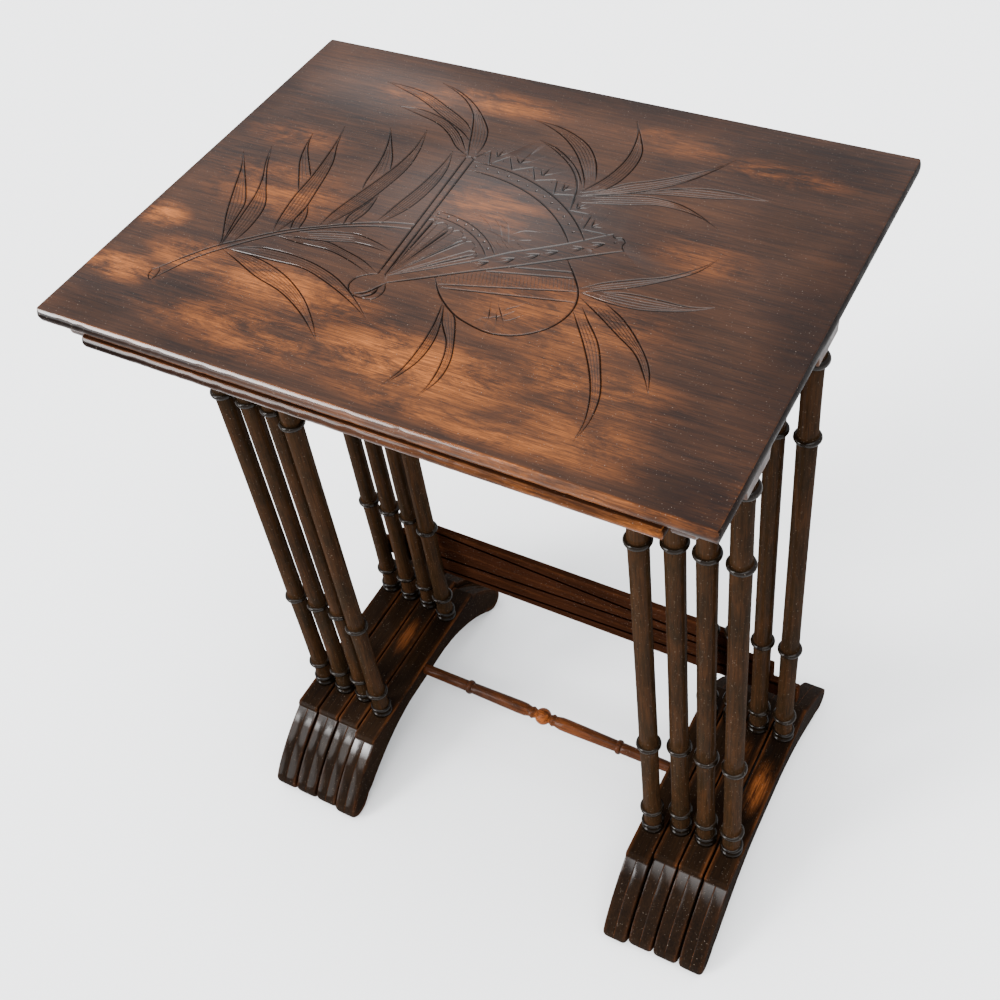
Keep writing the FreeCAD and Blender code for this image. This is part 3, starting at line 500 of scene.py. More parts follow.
# ------------------------------------------------------------------ the carving
# Plan curves on the largest top, in millimetres from its middle; +y is the rear.
# A leaf is two edges, each from its tip to its root, and a number of veins between them.
LEAVES = (
    # on the branch, upper side, from the left
    (((-249, 24), (-237, 4), (-225, -22), (-210, -53), (-193, -82), (-190, -90)),
     ((-249, 24), (-231, 1), (-213, -22), (-204, -36), (-197, -62), (-189, -89)), 3),
    (((-230, 39), (-222, 19), (-211, -1), (-203, -22), (-197, -49), (-189, -88)),
     ((-230, 39), (-217, 14), (-201, -10), (-186, -33), (-181, -60), (-182, -82)), 4),
    (((-207, 68), (-203, 52), (-195, 31), (-183, 12), (-171, -6)),
     ((-207, 68), (-201, 52), (-185, 30), (-172, 14)), 2),
    (((-186, 87), (-181, 68), (-176, 42), (-172, 14), (-170, -14), (-163, -49), (-159, -59)),
     ((-186, 87), (-177, 61), (-166, 37), (-157, 0), (-152, -30), (-156, -58)), 4),
    (((-153, -18), (-152, -40), (-148, -51)), ((-153, -18), (-145, -33), (-142, -48)), 2),
    (((-147, 99), (-137, 79), (-129, 53), (-125, 26), (-122, 15)),
     ((-147, 99), (-134, 80), (-121, 60), (-114, 45)), 3),
    (((-115, 107), (-111, 80), (-112, 57), (-117, 29), (-123, 3), (-128, -23), (-128, -38)),
     ((-115, 107), (-106, 80), (-102, 54), (-105, 23), (-111, -5), (-123, -36)), 5),
    (((-105, 14), (-109, -4), (-113, -18), (-111, -30)),
     ((-105, 14), (-102, -8), (-104, -20), (-107, -29)), 2),
    (((-78, 87), (-77, 70), (-79, 37), (-84, 7), (-87, -15)),
     ((-78, 87), (-70, 63), (-68, 37), (-72, 8), (-83, -17)), 4),
    # on the branch, lower side
    (((-56, -45), (-72, -40), (-92, -37), (-112, -41), (-138, -51)),
     ((-56, -48), (-74, -46), (-92, -47), (-112, -53), (-134, -58)), 3),
    (((-53, -71.5), (-70, -63), (-92, -57), (-110, -53.5), (-132, -57), (-151, -60)),
     ((-58, -75), (-80, -67), (-103, -62), (-128, -63), (-153, -62)), 3),
    (((-31, -120), (-52, -104), (-79, -88), (-110, -79), (-140, -77.5), (-160, -80), (-177, -88)),
     ((-31, -120), (-51, -109), (-79, -97), (-110, -88), (-140, -89), (-176, -90)), 3),
    (((-54, -153), (-69, -136), (-90, -117), (-119, -100), (-150, -91), (-182, -90)),
     ((-54, -153), (-81, -133), (-110, -118), (-140, -109.5), (-168, -98), (-184, -92)), 5),
    # rear left group, from the guard's top
    (((-139, 175.5), (-120, 170), (-100, 159), (-80, 142), (-65, 124), (-58, 104), (-57, 90)),
     ((-139, 175.5), (-122, 168.5), (-106, 159), (-90, 143), (-79, 122), (-69, 99), (-62, 84)), 4),
    (((-188, 161), (-163, 160), (-142, 156), (-116, 144), (-88, 128.5), (-77, 118)),
     ((-188, 161), (-169, 155.5), (-142, 145.5), (-115, 131), (-84, 115), (-70, 104)), 4),
    (((-156, 130.7), (-138, 133), (-120, 130), (-105, 125), (-86, 112), (-68, 92)),
     ((-156, 130.7), (-138, 126.5), (-111, 119), (-94, 108.5), (-78, 94), (-64, 86.5)), 3),
    # rear middle group
    (((-38, 153), (-10, 150), (10, 143), (26, 133), (39, 118), (47, 103), (52, 91)),
     ((-38, 153), (-20, 148), (0, 138), (19, 122), (33, 105), (42, 91), (47, 80)), 4),
    (((-16, 127), (1, 122), (19, 111), (34, 97), (44, 83)),
     ((-16, 127), (1, 119), (19, 107), (33, 93), (42, 78), (46, 64), (49.5, 50)), 2),
    (((48, 179), (56, 163), (61, 142), (62, 122), (58, 100), (53, 87), (47, 74)),
     ((48, 179), (60, 160), (70, 141), (73, 122), (71, 102), (66, 88), (60, 80)), 4),
    (((145.5, 155.5), (132, 138), (114, 122), (95, 108), (77, 97), (61, 82), (49, 74)),
     ((145.5, 155.5), (134, 136), (120.5, 117), (105, 102), (86, 88), (65, 77), (51, 72)), 3),
    (((189, 114.4), (163, 115), (141, 113), (122, 107), (97, 94)),
     ((189, 114.4), (167, 109.5), (145, 102), (112, 94.5), (89, 88), (62, 76), (50, 71)), 3),
    (((166, 68.5), (145, 80.5), (127, 87), (105, 88), (84, 83), (50, 69.5)),
     ((166, 68.5), (149, 77), (131, 80.3), (109, 79.5), (87, 71.7), (56, 62.8)), 3),
    # right group, from the round fan
    (((180, 35), (172, 23), (152, 3), (132, -8), (112, -20), (99.5, -31)),
     ((180, 35), (171, 16.5), (152, -2), (133, -17), (112, -29), (102, -35.5)), 2),
    (((198, -15.5), (182, -21), (157, -22), (134, -24), (117, -29)),
     ((198, -15.5), (182, -25.5), (166, -32), (148, -37), (123, -38.3), (102, -36)), 4),
    (((190.5, -113), (180, -89), (161, -66.5), (142, -50), (123, -39)),
     ((190.5, -113), (182, -100), (166, -80.5), (145, -66.5), (123, -52), (104.5, -41)), 4),
    (((163.3, -172), (165, -151), (161, -127), (150, -103), (137, -80), (119, -60), (109.5, -49)),
     ((163.3, -172), (162, -153), (155.5, -131), (144.5, -109), (128, -84.5), (112, -64), (105.5, -55.5)), 3),
    # front group
    (((16, -175), (20.6, -156), (21, -132), (18, -107), (12, -83.5)),
     ((16, -175), (22, -162), (27.5, -143), (27, -122), (21, -101), (14, -85)), 3),
    (((45, -175), (46.5, -162), (44, -141), (37, -121), (22, -101), (14, -86)),
     ((45, -175), (50.5, -156), (49, -137), (40, -115), (27, -92.5), (20, -87.5)), 3),
)
BRANCH_UPPER = ((-219, -129), (-207, -110), (-192, -90), (-174, -73.5), (-151, -53.5), (-129, -40.5),
                (-103, -26), (-80, -16), (-57, -9.5))
BRANCH_LOWER = ((-216, -143), (-199, -109), (-182, -88), (-162, -67.5), (-142, -51.5), (-112, -34),
                (-84, -22.5), (-57, -15.5))
BRANCH_END = ((-219, -129), (-222.5, -134), (-220.5, -141), (-216, -143.5), (-215, -138), (-217, -131))

PIVOT = (-45, -72)
BAND_RADII = (153, 141)
INNER_BAND_RADII = (84, 77.3)
GUARD_LEFT = (((-63.3, 84), (-51.7, -72)), ((-56, 84), (-46, -71)), ((-50.8, 4), (-44.5, -68)))
GUARD_TOP = ((-63.3, 84), (-60, 85.6), (-57.5, 85), (-56, 83))
GUARD_RIGHT_LOWER = ((-40, -79), (-19, -65.6), (11, -45.6), (43, -25.5), (77, -2.8), (110.6, 19.4))
GUARD_RIGHT_UPPER = ((-43, -71), (-23, -57), (-5, -43.5), (10, -32), (31, -13.3), (49, -1), (67, 12),
                     (94.4, 35))
GUARD_RIGHT_END = ((94.4, 35), (97.5, 31.2), (103, 32.8), (106.8, 29.5), (106.6, 24.5), (110.6, 19.4))
BULB_LEFT = ((-52, -72.5), (-59, -76.5), (-65, -83), (-65.8, -91), (-61, -97.8), (-55, -100.5), (-46, -101))
BULB_RIGHT = ((-46, -101), (-40, -99), (-36.6, -93), (-36.8, -86.5), (-40, -80.5))
BULB_SCROLLS = (((-40, -79), (-44, -87), (-49, -94.5), (-56, -98.5)),
                ((-42.5, -86), (-42.6, -93), (-45.6, -97), (-50, -99.5)))
RIB_ANGLES = (90, 75.2, 59.7, 42.5)
FOLD_ANGLES = (85.4, 78.1, 71.6, 62.9, 57.0, 47.2, 39.5)
# The pleats' scalloped ends: (middle in degrees, half spread, radius).
SCALLOPS = ((90.3, 4.0, 73.5), (81.8, 5.2, 73.2), (74.6, 2.6, 72.0), (67.3, 5.2, 73.2), (60.0, 2.6, 72.0),
            (52.1, 5.4, 73.4), (42.6, 4.2, 71.5))
SAWTEETH = ((-57, 84.5), (-48.3, 99.4), (-40.6, 82), (-28.9, 97.2), (-18.3, 81), (-3.9, 91), (5.6, 75),
            (22.2, 82.4), (28.3, 64), (46, 69), (49.7, 49.5), (68.3, 51), (69.6, 31.5), (92, 32.8))
TOOTH_MARKS = ((-49, 91), (-31, 89.5), (-5, 85), (20, 76.7), (42.2, 63.3), (63, 46))
TUFTS = (((-38.7, 93), ((-43.9, 102), (-38.3, 103), (-33.3, 101))),
         ((-16.7, 91.7), ((-23.3, 98.3), (-16, 100), (-9.4, 97.2))),
         ((8.5, 82.8), ((2.8, 91), (9.8, 93.3), (15.6, 88.3))),
         ((32.4, 70), ((30.2, 80), (35.2, 80), (38.6, 75))),
         ((53.5, 53.4), ((51.2, 62), (57.6, 60.5), (61.5, 57.2))),
         ((74.6, 36.8), ((73.3, 46.7), (79, 42.4), (84, 39))))
ARROWS = (((20.6, -29), (11.5, -31.8)), ((37.2, -18.3), (27.8, -21.7)), ((52.8, -7.2), (43.3, -10)),
          ((64.4, 1.1), (54.4, -1.1)), ((81, 11.7), (71.7, 11)), ((93.3, 22.2), (83.3, 20)))
GRASS = (((-14.4, 19), (-3, 13), (6.7, 3.3)), ((-2, 20.6), (9, 11), (16.7, 0)),
         ((3.3, 23.3), (13, 16), (20, 4), (25.6, -6)), ((7, 14.4), (15.6, 10.6)),
         ((22.2, 7.2), (28, 13.5), (40, 16.7)), ((30, 2.2), (40, 6)), ((30, -1), (40, -6.7)),
         ((-6.7, 5), (5, 4), (17, 0), (32, -9)), ((13.3, -4.4), (24.4, -12.2)), ((16, -1), (31, -12)),
         ((9, -6), (21, -15)))
ROUND_FAN = ((76, -5.5), (86.7, -17.8), (98.9, -34.4), (103.8, -48), (104.2, -60), (100, -74), (91, -86),
             (78, -95), (61, -99.3), (44.4, -97), (27.8, -91.7), (11, -81), (0, -70.6), (-8.3, -59.4))
FAN_BARS = (((42.2, -27.8), (86.7, -16.7)), ((24.4, -39.5), (90.5, -22.6)),
            ((-2.5, -66.2), (98.5, -35.6)), ((1.0, -69), (102.2, -47)))
HATCH = {"first": -4.0, "last": 95.0, "pitch": 2.75, "lean": -5.5}
CROSSED_STROKES = (((46.7, -73.3), (52.8, -87.5)), ((51, -69), (64.4, -85.6)), ((54.4, -77.5), (59.4, -87.5)),
                   ((47, -87.5), (60, -79.5), (66.7, -71)), ((58, -73.3), (66.7, -65)),
                   ((64, -84), (69, -80), (73, -74)))


# Depth at which a cut is full of wax, and how glossy cuts' walls are.
CUT_DEEP = 0.85
CUT_GLOSS = 0.2


class Stroke:
    """One cut of the gouge: a centre line with a half width and a depth that swell and fade."""

    def __init__(self, line, half, depth, taper, ends=(0.12, 0.12)):
        self.line = np.asarray(line, float)
        steps = np.linalg.norm(np.diff(self.line, axis=0), axis=1)
        run = np.concatenate([[0], np.cumsum(steps)])
        run /= run[-1]
        grow = np.clip(run / max(ends[0], 1e-3), 0, 1)
        fade = np.clip((1 - run) / max(ends[1], 1e-3), 0, 1)
        shape = (taper[0] + (1 - taper[0]) * np.sin(grow * math.pi / 2))
        shape *= (taper[1] + (1 - taper[1]) * np.sin(fade * math.pi / 2))
        self.half = half * shape
        self.depth = depth * shape

    def rails(self):
        """The cut's centre line, two lines half way up its walls and its two borders."""
        ahead = np.gradient(self.line, axis=0)
        ahead /= np.maximum(np.linalg.norm(ahead, axis=1, keepdims=True), 1e-9)
        side = np.stack([-ahead[:, 1], ahead[:, 0]], 1)
        return [self.line + side * (self.half * share)[:, None] for share in (-1, -0.5, 0, 0.5, 1)]

    def depth_at(self, points):
        """How deep this cut is at each point."""
        low = self.line.min(0) - 2
        high = self.line.max(0) + 2
        near = np.where(np.all((points > low) & (points < high), axis=1))[0]
        result = np.zeros(len(points))
        if len(near) == 0:
            return result
        chosen = points[near]
        start = self.line[:-1]
        run = np.diff(self.line, axis=0)
        length2 = np.maximum(np.sum(run * run, 1), 1e-9)
        share = np.einsum("pkd,kd->pk", chosen[:, None, :] - start[None], run) / length2
        share = np.clip(share, 0, 1)
        foot = start[None] + run[None] * share[..., None]
        distance = np.linalg.norm(chosen[:, None, :] - foot, axis=2)
        half = self.half[:-1][None] * (1 - share) + self.half[1:][None] * share
        depth = self.depth[:-1][None] * (1 - share) + self.depth[1:][None] * share
        level = depth * np.clip(1 - (distance / half) ** 1.35, 0, 1)
        result[near] = level.max(1)
        return result


def resampled(curve, count):
    """The curve again, as count evenly spaced points."""
    steps = np.linalg.norm(np.diff(curve, axis=0), axis=1)
    run = np.concatenate([[0], np.cumsum(steps)])
    wanted = np.linspace(0, run[-1], count)
    return np.stack([np.interp(wanted, run, curve[:, k]) for k in (0, 1)], 1)


def cuts(lines, step, half, depth, taper, ends=(0.12, 0.12)):
    """Alike gouge cuts along smooth lines."""
    return [Stroke(smooth_curve(line, step), half, depth, taper, ends) for line in lines]


def leaf_strokes(edge_a, edge_b, veins, number):
    """Both edges of a leaf and the veins between them."""
    a = smooth_curve(edge_a, 1.0)
    b = smooth_curve(edge_b, 1.0)
    length = float(np.sum(np.linalg.norm(np.diff(a, axis=0), axis=1)))
    count = max(8, int(length / 3.2))
    a, b = resampled(a, count), resampled(b, count)
    out = [Stroke(edge, 1.05, CUT_DEEP, (0.45, 0.5), (0.3, 0.15)) for edge in (a, b)]
    for k in range(veins):
        share = (k + 1) / (veins + 1)
        vary = 0.5 + 0.5 * math.sin(7.3 * number + 2.9 * k)
        start = int(count * (0.14 + 0.16 * vary))
        end = int(count * (0.97 - 0.05 * vary))
        line = (a * (1 - share) + b * share)[start:end]
        if len(line) > 3:
            out.append(Stroke(line, 0.72, 0.5, (0.25, 0.4), (0.35, 0.2)))
    return out


def fan_strokes():
    """The folding fan: its bands, guards and bulb."""
    out = [Stroke(arc_points(PIVOT, radius, 93.6, 37.4), 1.1, 0.85, (0.7, 0.7)) for radius in BAND_RADII]
    out += [Stroke(arc_points(PIVOT, radius, 92.5, 38.5), 0.95, 0.7, (0.7, 0.7))
            for radius in INNER_BAND_RADII]
    out += cuts(GUARD_LEFT[:2], 6, 1.25, 0.95, (0.7, 0.7))
    out += cuts(GUARD_LEFT[2:], 6, 0.8, 0.6, (0.3, 0.7))
    for line, half in ((GUARD_TOP, 0.9), (GUARD_RIGHT_LOWER, 1.35), (GUARD_RIGHT_UPPER, 1.1),
                       (GUARD_RIGHT_END, 1.0), (BULB_LEFT, 1.1), (BULB_RIGHT, 1.0)):
        out += cuts([line], 2.2, half, half * 0.75, (0.7, 0.7))
    return out + cuts(BULB_SCROLLS, 2.0, 1.5, 1.0, (0.35, 0.5), (0.3, 0.3))


def on_fan(radius, degrees):
    """A point of the folding fan."""
    angle = math.radians(degrees)
    return (PIVOT[0] + radius * math.cos(angle), PIVOT[1] + radius * math.sin(angle))


def rib_strokes():
    """The fan's pleats: a deep wedge in each fold, a fine line either side, a scalloped rim."""
    ribs = [(on_fan(6, degrees), on_fan(71.5 if degrees > 80 else 66.5, degrees)) for degrees in RIB_ANGLES]
    folds = [(on_fan(10, degrees + 0.5), on_fan(70 if index % 2 else 68, degrees))
             for index, degrees in enumerate(FOLD_ANGLES)]
    rims = [(on_fan(high - 5, middle + spread), on_fan(high - 0.6, middle + spread * 0.45),
             on_fan(high - 0.6, middle - spread * 0.45), on_fan(high - 5, middle - spread))
            for middle, spread, high in SCALLOPS]
    return (cuts(ribs, 4, 1.5, 1.05, (0.22, 0.6), (0.85, 0.04)) + cuts(folds, 4, 0.75, 0.5, (0.4, 0.7))
            + cuts(rims, 1.4, 0.7, 0.5, (0.6, 0.6)))


def arrow_lines():
    """Three short lines that fan out from each arrow's head."""
    lines = []
    for head, tail in ARROWS:
        back = np.array(tail) - np.array(head)
        for turn, reach in ((0, 1.0), (22, 0.93), (46, 1.02)):
            cos, sin = math.cos(math.radians(turn)), math.sin(math.radians(turn))
            turned = np.array([back[0] * cos - back[1] * sin, back[0] * sin + back[1] * cos])
            lines.append((tuple(np.array(head) + reach * turned), head))
    return lines


def mark_strokes():
    """The fan's small ornament and the marks on the guard and the round fan."""
    ticks = [((x - 0.6, y + 1.8), (x + 0.5, y - 1.6)) for x, y in TOOTH_MARKS]
    tufts = [(tip, root) for root, tips in TUFTS for tip in tips]
    return (cuts(zip(SAWTEETH, SAWTEETH[1:]), 3, 1.0, 0.75, (0.5, 0.5), (0.2, 0.2))
            + cuts(ticks, 1, 0.8, 0.5, (0.3, 0.3), (0.5, 0.5))
            + cuts(tufts, 1.6, 1.15, 0.8, (0.2, 0.6), (0.5, 0.2))
            + cuts(arrow_lines(), 1.6, 1.2, 0.85, (0.2, 0.8), (0.6, 0.15))
            + cuts(GRASS, 1.8, 0.62, 0.4, (0.2, 0.2), (0.35, 0.35))
            + cuts([ROUND_FAN], 3, 1.25, 0.9, (0.6, 0.6))
            + cuts(FAN_BARS, 5, 1.2, 0.85, (0.5, 0.5))
            + cuts(CROSSED_STROKES, 2, 0.95, 0.7, (0.3, 0.3), (0.4, 0.4)))


def height_on(line, x):
    """y of a straight or bent line at x."""
    points = np.array(line)
    return float(np.interp(x, points[:, 0], points[:, 1]))


def hatch_strokes():
    """Close parallel cuts that fill the round fan's band."""
    lines = []
    x = HATCH["first"]
    while x < HATCH["last"]:
        upper = height_on(GUARD_RIGHT_LOWER if x < 22 else FAN_BARS[1], x)
        lower = height_on(FAN_BARS[2], min(x - HATCH["lean"], 98))
        if upper - lower > 3:
            share = min(1.0, (upper - lower) / 13.5)
            lines.append(((x, upper - 1.2), (x - HATCH["lean"] * share, lower + 1.0)))
        x += HATCH["pitch"]
    return cuts(lines, 3, 0.62, 0.42, (0.5, 0.5), (0.15, 0.15))


def dot_places():
    """Centres of the punched dots in the fan's two bands and at the guard's end."""
    out = [on_fan(147, 91.4 - 4.13 * k) for k in range(13)]
    out += [on_fan(80.7, 90.4 - 6.55 * k) for k in range(8)]
    out.append((100, 26))
    return out


DOT_RADIUS = 1.35
DOT_DEPTH = 1.1
DOT_SIDES = 8


def carving():
    """Every cut of the carving."""
    out = []
    for number, (edge_a, edge_b, veins) in enumerate(LEAVES):
        out += leaf_strokes(edge_a, edge_b, veins, number)
    out += cuts((BRANCH_UPPER, BRANCH_LOWER), 3, 1.3, 1.0, (0.7, 0.7))
    out += cuts([BRANCH_END + BRANCH_END[:1]], 1.5, 0.9, 0.7, (0.8, 0.8))
    return out + fan_strokes() + rib_strokes() + mark_strokes() + hatch_strokes()


# ------------------------------------------------------------------ tops
TOP_CORNER = 3.0
# How much the lacquer has dulled on the edges away from the light.
EDGE_DULL = 0.22
# Side of a top from its crisp upper arris down: (inset, share of the thickness, wear, gloss, dark); dark is
# painted shade, darkening the edge's colour below its highlight.
TOP_SIDE = ((2.6, 0.0, 0.7, 0.0, 0.0), (2.35, 0.015, 1.0, 0.25, 0.0), (1.5, 0.11, 0.25, 1.0, 0.4),
            (0.65, 0.23, 0.0, 0.8, 0.72), (0.22, 0.34, 0.0, 0.0, 0.78), (0.03, 0.45, 0.0, 0.0, 0.78),
            (0.2, 0.57, 0.05, 0.0, 0.74), (0.75, 0.70, 0.15, 0.0, 0.7), (1.45, 0.83, 0.45, 0.0, 0.6),
            (2.2, 0.93, 0.8, 0.0, 0.5), (2.9, 0.985, 0.5, 0.0, 0.5), (3.5, 1.0, 0.2, 0.0, 0.6))


def top_outline(low, high):
    """A top's outline in plan, with small round corners."""
    return filleted([(low.x, low.y, TOP_CORNER), (high.x, low.y, TOP_CORNER),
                     (high.x, high.y, TOP_CORNER), (low.x, high.y, TOP_CORNER)], 6)


def spaced(outline, step):
    """The closed outline with extra points on its long straights."""
    out = []
    for here, there in zip(outline, np.roll(outline, -1, 0)):
        count = max(1, int(np.linalg.norm(there - here) / step))
        for k in range(count):
            out.append(here + (there - here) * k / count)
    return np.array(out)


def ripple(outline, amount, seed):
    """Small uneven offsets along an edge, as old edges have; smooth and repeatable."""
    run = np.concatenate([[0], np.cumsum(np.linalg.norm(np.diff(outline, axis=0), axis=1))])
    value = np.zeros(len(outline))
    for k, wave in enumerate((310.0, 97.0, 41.0, 17.0)):
        value += np.sin(run / wave * 2 * math.pi + seed * (1.7 + k)) / (k + 1.5)
    return amount * value / 1.6


def dents(outline, seed, count, depth):
    """A few short chips along the front edge: how far each outline point is worn back."""
    rng = np.random.default_rng(seed)
    value = np.zeros(len(outline))
    front = outline[:, 1] < outline[:, 1].min() + 0.5
    for _ in range(count):
        centre = rng.uniform(outline[:, 0].min() + 10, outline[:, 0].max() - 10)
        width = rng.uniform(1.5, 6.0)
        deep = depth * rng.uniform(0.3, 1.0)
        value = np.maximum(value, np.where(front, deep * np.exp(-((outline[:, 0] - centre) / width) ** 2), 0))
    return value


def edge_wear(point, low, high):
    """How rubbed a top's edge is: most at the front and its right corner, least at the rear."""
    front = 1.0 if point[1] < low.y + 6 else 0.0
    side = 0.3
    rightward = (point[0] - low.x) / (high.x - low.x)
    near_front = max(0.0, 1 - (point[1] - low.y) / 90)
    right_corner = max(0.0, 1 - math.hypot(point[0] - high.x, point[1] - low.y) / 60)
    return min(1.0, max(front * (0.6 + 0.4 * rightward), side * (0.3 + 0.7 * near_front), right_corner * 1.6))


def top_mesh(name, node, carved, seed):
    """A table top: flat (or carved) upper face, rounded worn edge, flat underside."""
    low, high = box_mm(node)
    outline = spaced(top_outline(low, high), 2.5)
    normals = outward_normals(outline)
    uneven = np.abs(ripple(outline, 0.1, seed)) + dents(outline, seed, 22, 0.55)
    count = len(outline)
    verts, wear, dark, gloss, faces, flat = [], [], [], [], [], []
    rows = []
    for index, (inset, share, rubbed, glossy, edge_shade) in enumerate(TOP_SIDE):
        rows.append(len(verts))
        height = high.z - share * (high.z - low.z)
        bulge = math.sin(math.pi * index / (len(TOP_SIDE) - 1))
        for i in range(count):
            front = max(0.0, -normals[i][1])
            a, b = outline[i] - normals[i] * (inset * (0.4 + 0.6 * front) + uneven[i] * bulge)
            verts.append((a, b, height))
            leftward = (high.x - outline[i][0]) / (high.x - low.x)
            worn = max(rubbed, 0.6 * (1 - leftward) ** 1.5) * edge_wear(outline[i], low, high)
            wear.append(worn * (1.0 if carved else 0.35 + 0.65 * (1 - leftward)))
            shine = glossy * min(1.0, leftward * 1.5) * (1.0 if carved else 0.35)
            gloss.append(shine * front - EDGE_DULL * (1 - leftward * front))
            # painted shade: the front edge below its highlight (more so to the left) and the side and rear
            # edges are darkened in colour and lose their coat
            dark.append(edge_shade * leftward if front > 0.5 else (0.75 if index else 0.2))
    for upper, lower in zip(rows, rows[1:]):
        for i in range(count):
            j = (i + 1) % count
            faces.append((upper + i, lower + i, lower + j, upper + j))
            flat.append(False)
    rim = [np.array(verts[i][:2]) for i in range(count)]
    inner = [point - normals[i] * 1.2 for i, point in enumerate(rim)]
    points = rim + inner
    edges = [(i, (i + 1) % count) for i in range(count)]
    edges += [(count + i, count + (i + 1) % count) for i in range(count)]
    strokes = carving() if carved else []
    for stroke in strokes:
        for rail in stroke.rails():
            start = len(points)
            points.extend(rail)
            edges.extend((start + k, start + k + 1) for k in range(len(rail) - 1))
    dots = dot_places() if carved else []
    for x, y in dots:
        for radius in (DOT_RADIUS, DOT_RADIUS * 0.55):
            start = len(points)
            for k in range(DOT_SIDES):
                angle = 2 * math.pi / DOT_SIDES * k
                points.append(np.array([x + radius * math.cos(angle), y + radius * math.sin(angle)]))
                edges.append((start + k, start + (k + 1) % DOT_SIDES))
    result = delaunay_2d_cdt([Vector((p[0], p[1])) for p in points], edges, [], 0, 1e-4)
    plan = np.array([[p.x, p.y] for p in result[0]])
    depth = np.zeros(len(plan))
    for stroke in strokes:
        depth = np.maximum(depth, stroke.depth_at(plan))
    for centre in dots:
        away = np.linalg.norm(plan - np.array(centre), axis=1) / DOT_RADIUS
        depth = np.maximum(depth, DOT_DEPTH * np.clip(1 - away ** 1.5, 0, 1))
    rim_of = {}
    for index, sources in enumerate(result[3]):
        for source in sources:
            if source < count:
                rim_of[index] = source
    start = len(verts)
    for p, d in zip(plan, depth):
        verts.append((p[0], p[1], high.z - d))
        from_edge = min(p[0] - low.x, high.x - p[0], p[1] - low.y, high.y - p[1])
        wear.append(0.3 * edge_wear(p, low, high) if carved and from_edge < 2.6 and d < 0.01 else 0.0)
    for i, j, k in result[2]:
        faces.append(tuple(rim_of.get(v, start + v) for v in (i, j, k)))
        flat.append(bool(max(depth[i], depth[j], depth[k]) < 1e-4))
    faces.append(tuple(range(rows[-1], rows[-1] + count))[::-1])
    flat.append(True)
    full = depth / CUT_DEEP
    # the cut value holds the painted shade of the edges and the black wax of the carved cuts
    mesh = raw_mesh(name, verts, faces, wear=wear, cut=dark + list(full),
                    polish=gloss + list(CUT_GLOSS * 4 * full * (1 - full)))
    obj = new_object(name, mesh, 38)
    mesh.polygons.foreach_set("use_smooth", ~np.array(flat))
    bm = bmesh.new()
    bm.from_mesh(mesh)
    loose = [v for v in bm.verts if not v.link_faces]
    bmesh.ops.delete(bm, geom=loose, context="VERTS")
    bm.to_mesh(mesh)
    bm.free()
    return obj


def build_tops():
    """All four tops; only the largest is carved."""
    for number in TABLES:
        node = "table%d_top" % number
        obj = top_mesh("table%d_top_board" % number, node, number == 1, number)
        material = "top_wood" if number == 1 else "inner_top_wood"
        finish_piece(obj, "table_%d" % number, material, "top_wood", node)


# ------------------------------------------------------------------ bearers, runners and boards
LOBE_HALF = 22.0
LOBE_UNDER = 646.0
COVE = 26.0
RAIL_UNDER = {1: 672.0, 2: 672.0, 3: 672.0, 4: 660.0}
RAIL_END_UNDER = 700.0


def leg_rows(number, side):
    """Depth positions of a side's front and rear legs."""
    rows = []
    for end in ENDS:
        low, high = box_mm("table%d_leg_%s_%s" % (number, end, side))
        rows.append((low.y + high.y) / 2)
    return rows


def quarter(start, end, bulge_towards, steps=7):
    """A quarter-round between two points, bulging towards a corner point."""
    start, end, corner = (np.array(p, float) for p in (start, end, bulge_towards))
    centre = start + end - corner
    out = []
    for k in range(steps + 1):
        angle = math.pi / 2 * k / steps
        out.append(centre + (start - centre) * math.cos(angle) + (end - centre) * math.sin(angle))
    return out


def bearer_outline(number, side):
    """Side view (depth, height) of a bearer, as the CAD part has it."""
    low, high = box_mm("table%d_bearer_%s" % (number, side))
    front, rear = leg_rows(number, side)
    under = RAIL_UNDER[number]
    cove = min(COVE, under - LOBE_UNDER)
    thin = min(RAIL_END_UNDER, high.z - 8)
    nose = (high.z - thin) / 2
    rise = under + (thin - under) * 0.28
    points = [(low.y, high.z), (low.y, thin + nose)]
    points += quarter((low.y, thin + nose), (low.y + nose, thin), (low.y, thin))[1:]
    shoulder = front - LOBE_HALF - cove
    points += list(arc_through((low.y + nose, thin), ((low.y + shoulder) / 2, rise), (shoulder, under)))[1:]
    for leg in (front, rear):
        left, right = leg - LOBE_HALF - cove, leg + LOBE_HALF + cove
        points += quarter((left, under), (leg - LOBE_HALF, LOBE_UNDER), (leg - LOBE_HALF, under))[1:]
        points += quarter((leg + LOBE_HALF, LOBE_UNDER), (right, under), (leg + LOBE_HALF, under))
        if leg == front:
            points.append((rear - LOBE_HALF - cove, under))
    shoulder = rear + LOBE_HALF + cove
    points += list(arc_through((shoulder, under), ((high.y + shoulder) / 2, rise), (high.y - nose, thin)))[1:]
    points += quarter((high.y - nose, thin), (high.y, thin + nose), (high.y, thin))[1:]
    points.append((high.y, high.z))
    clean = [np.array(points[0], float)]
    for point in points[1:]:
        if np.linalg.norm(np.array(point, float) - clean[-1]) > 0.05:
            clean.append(np.array(point, float))
    return np.array(clean)


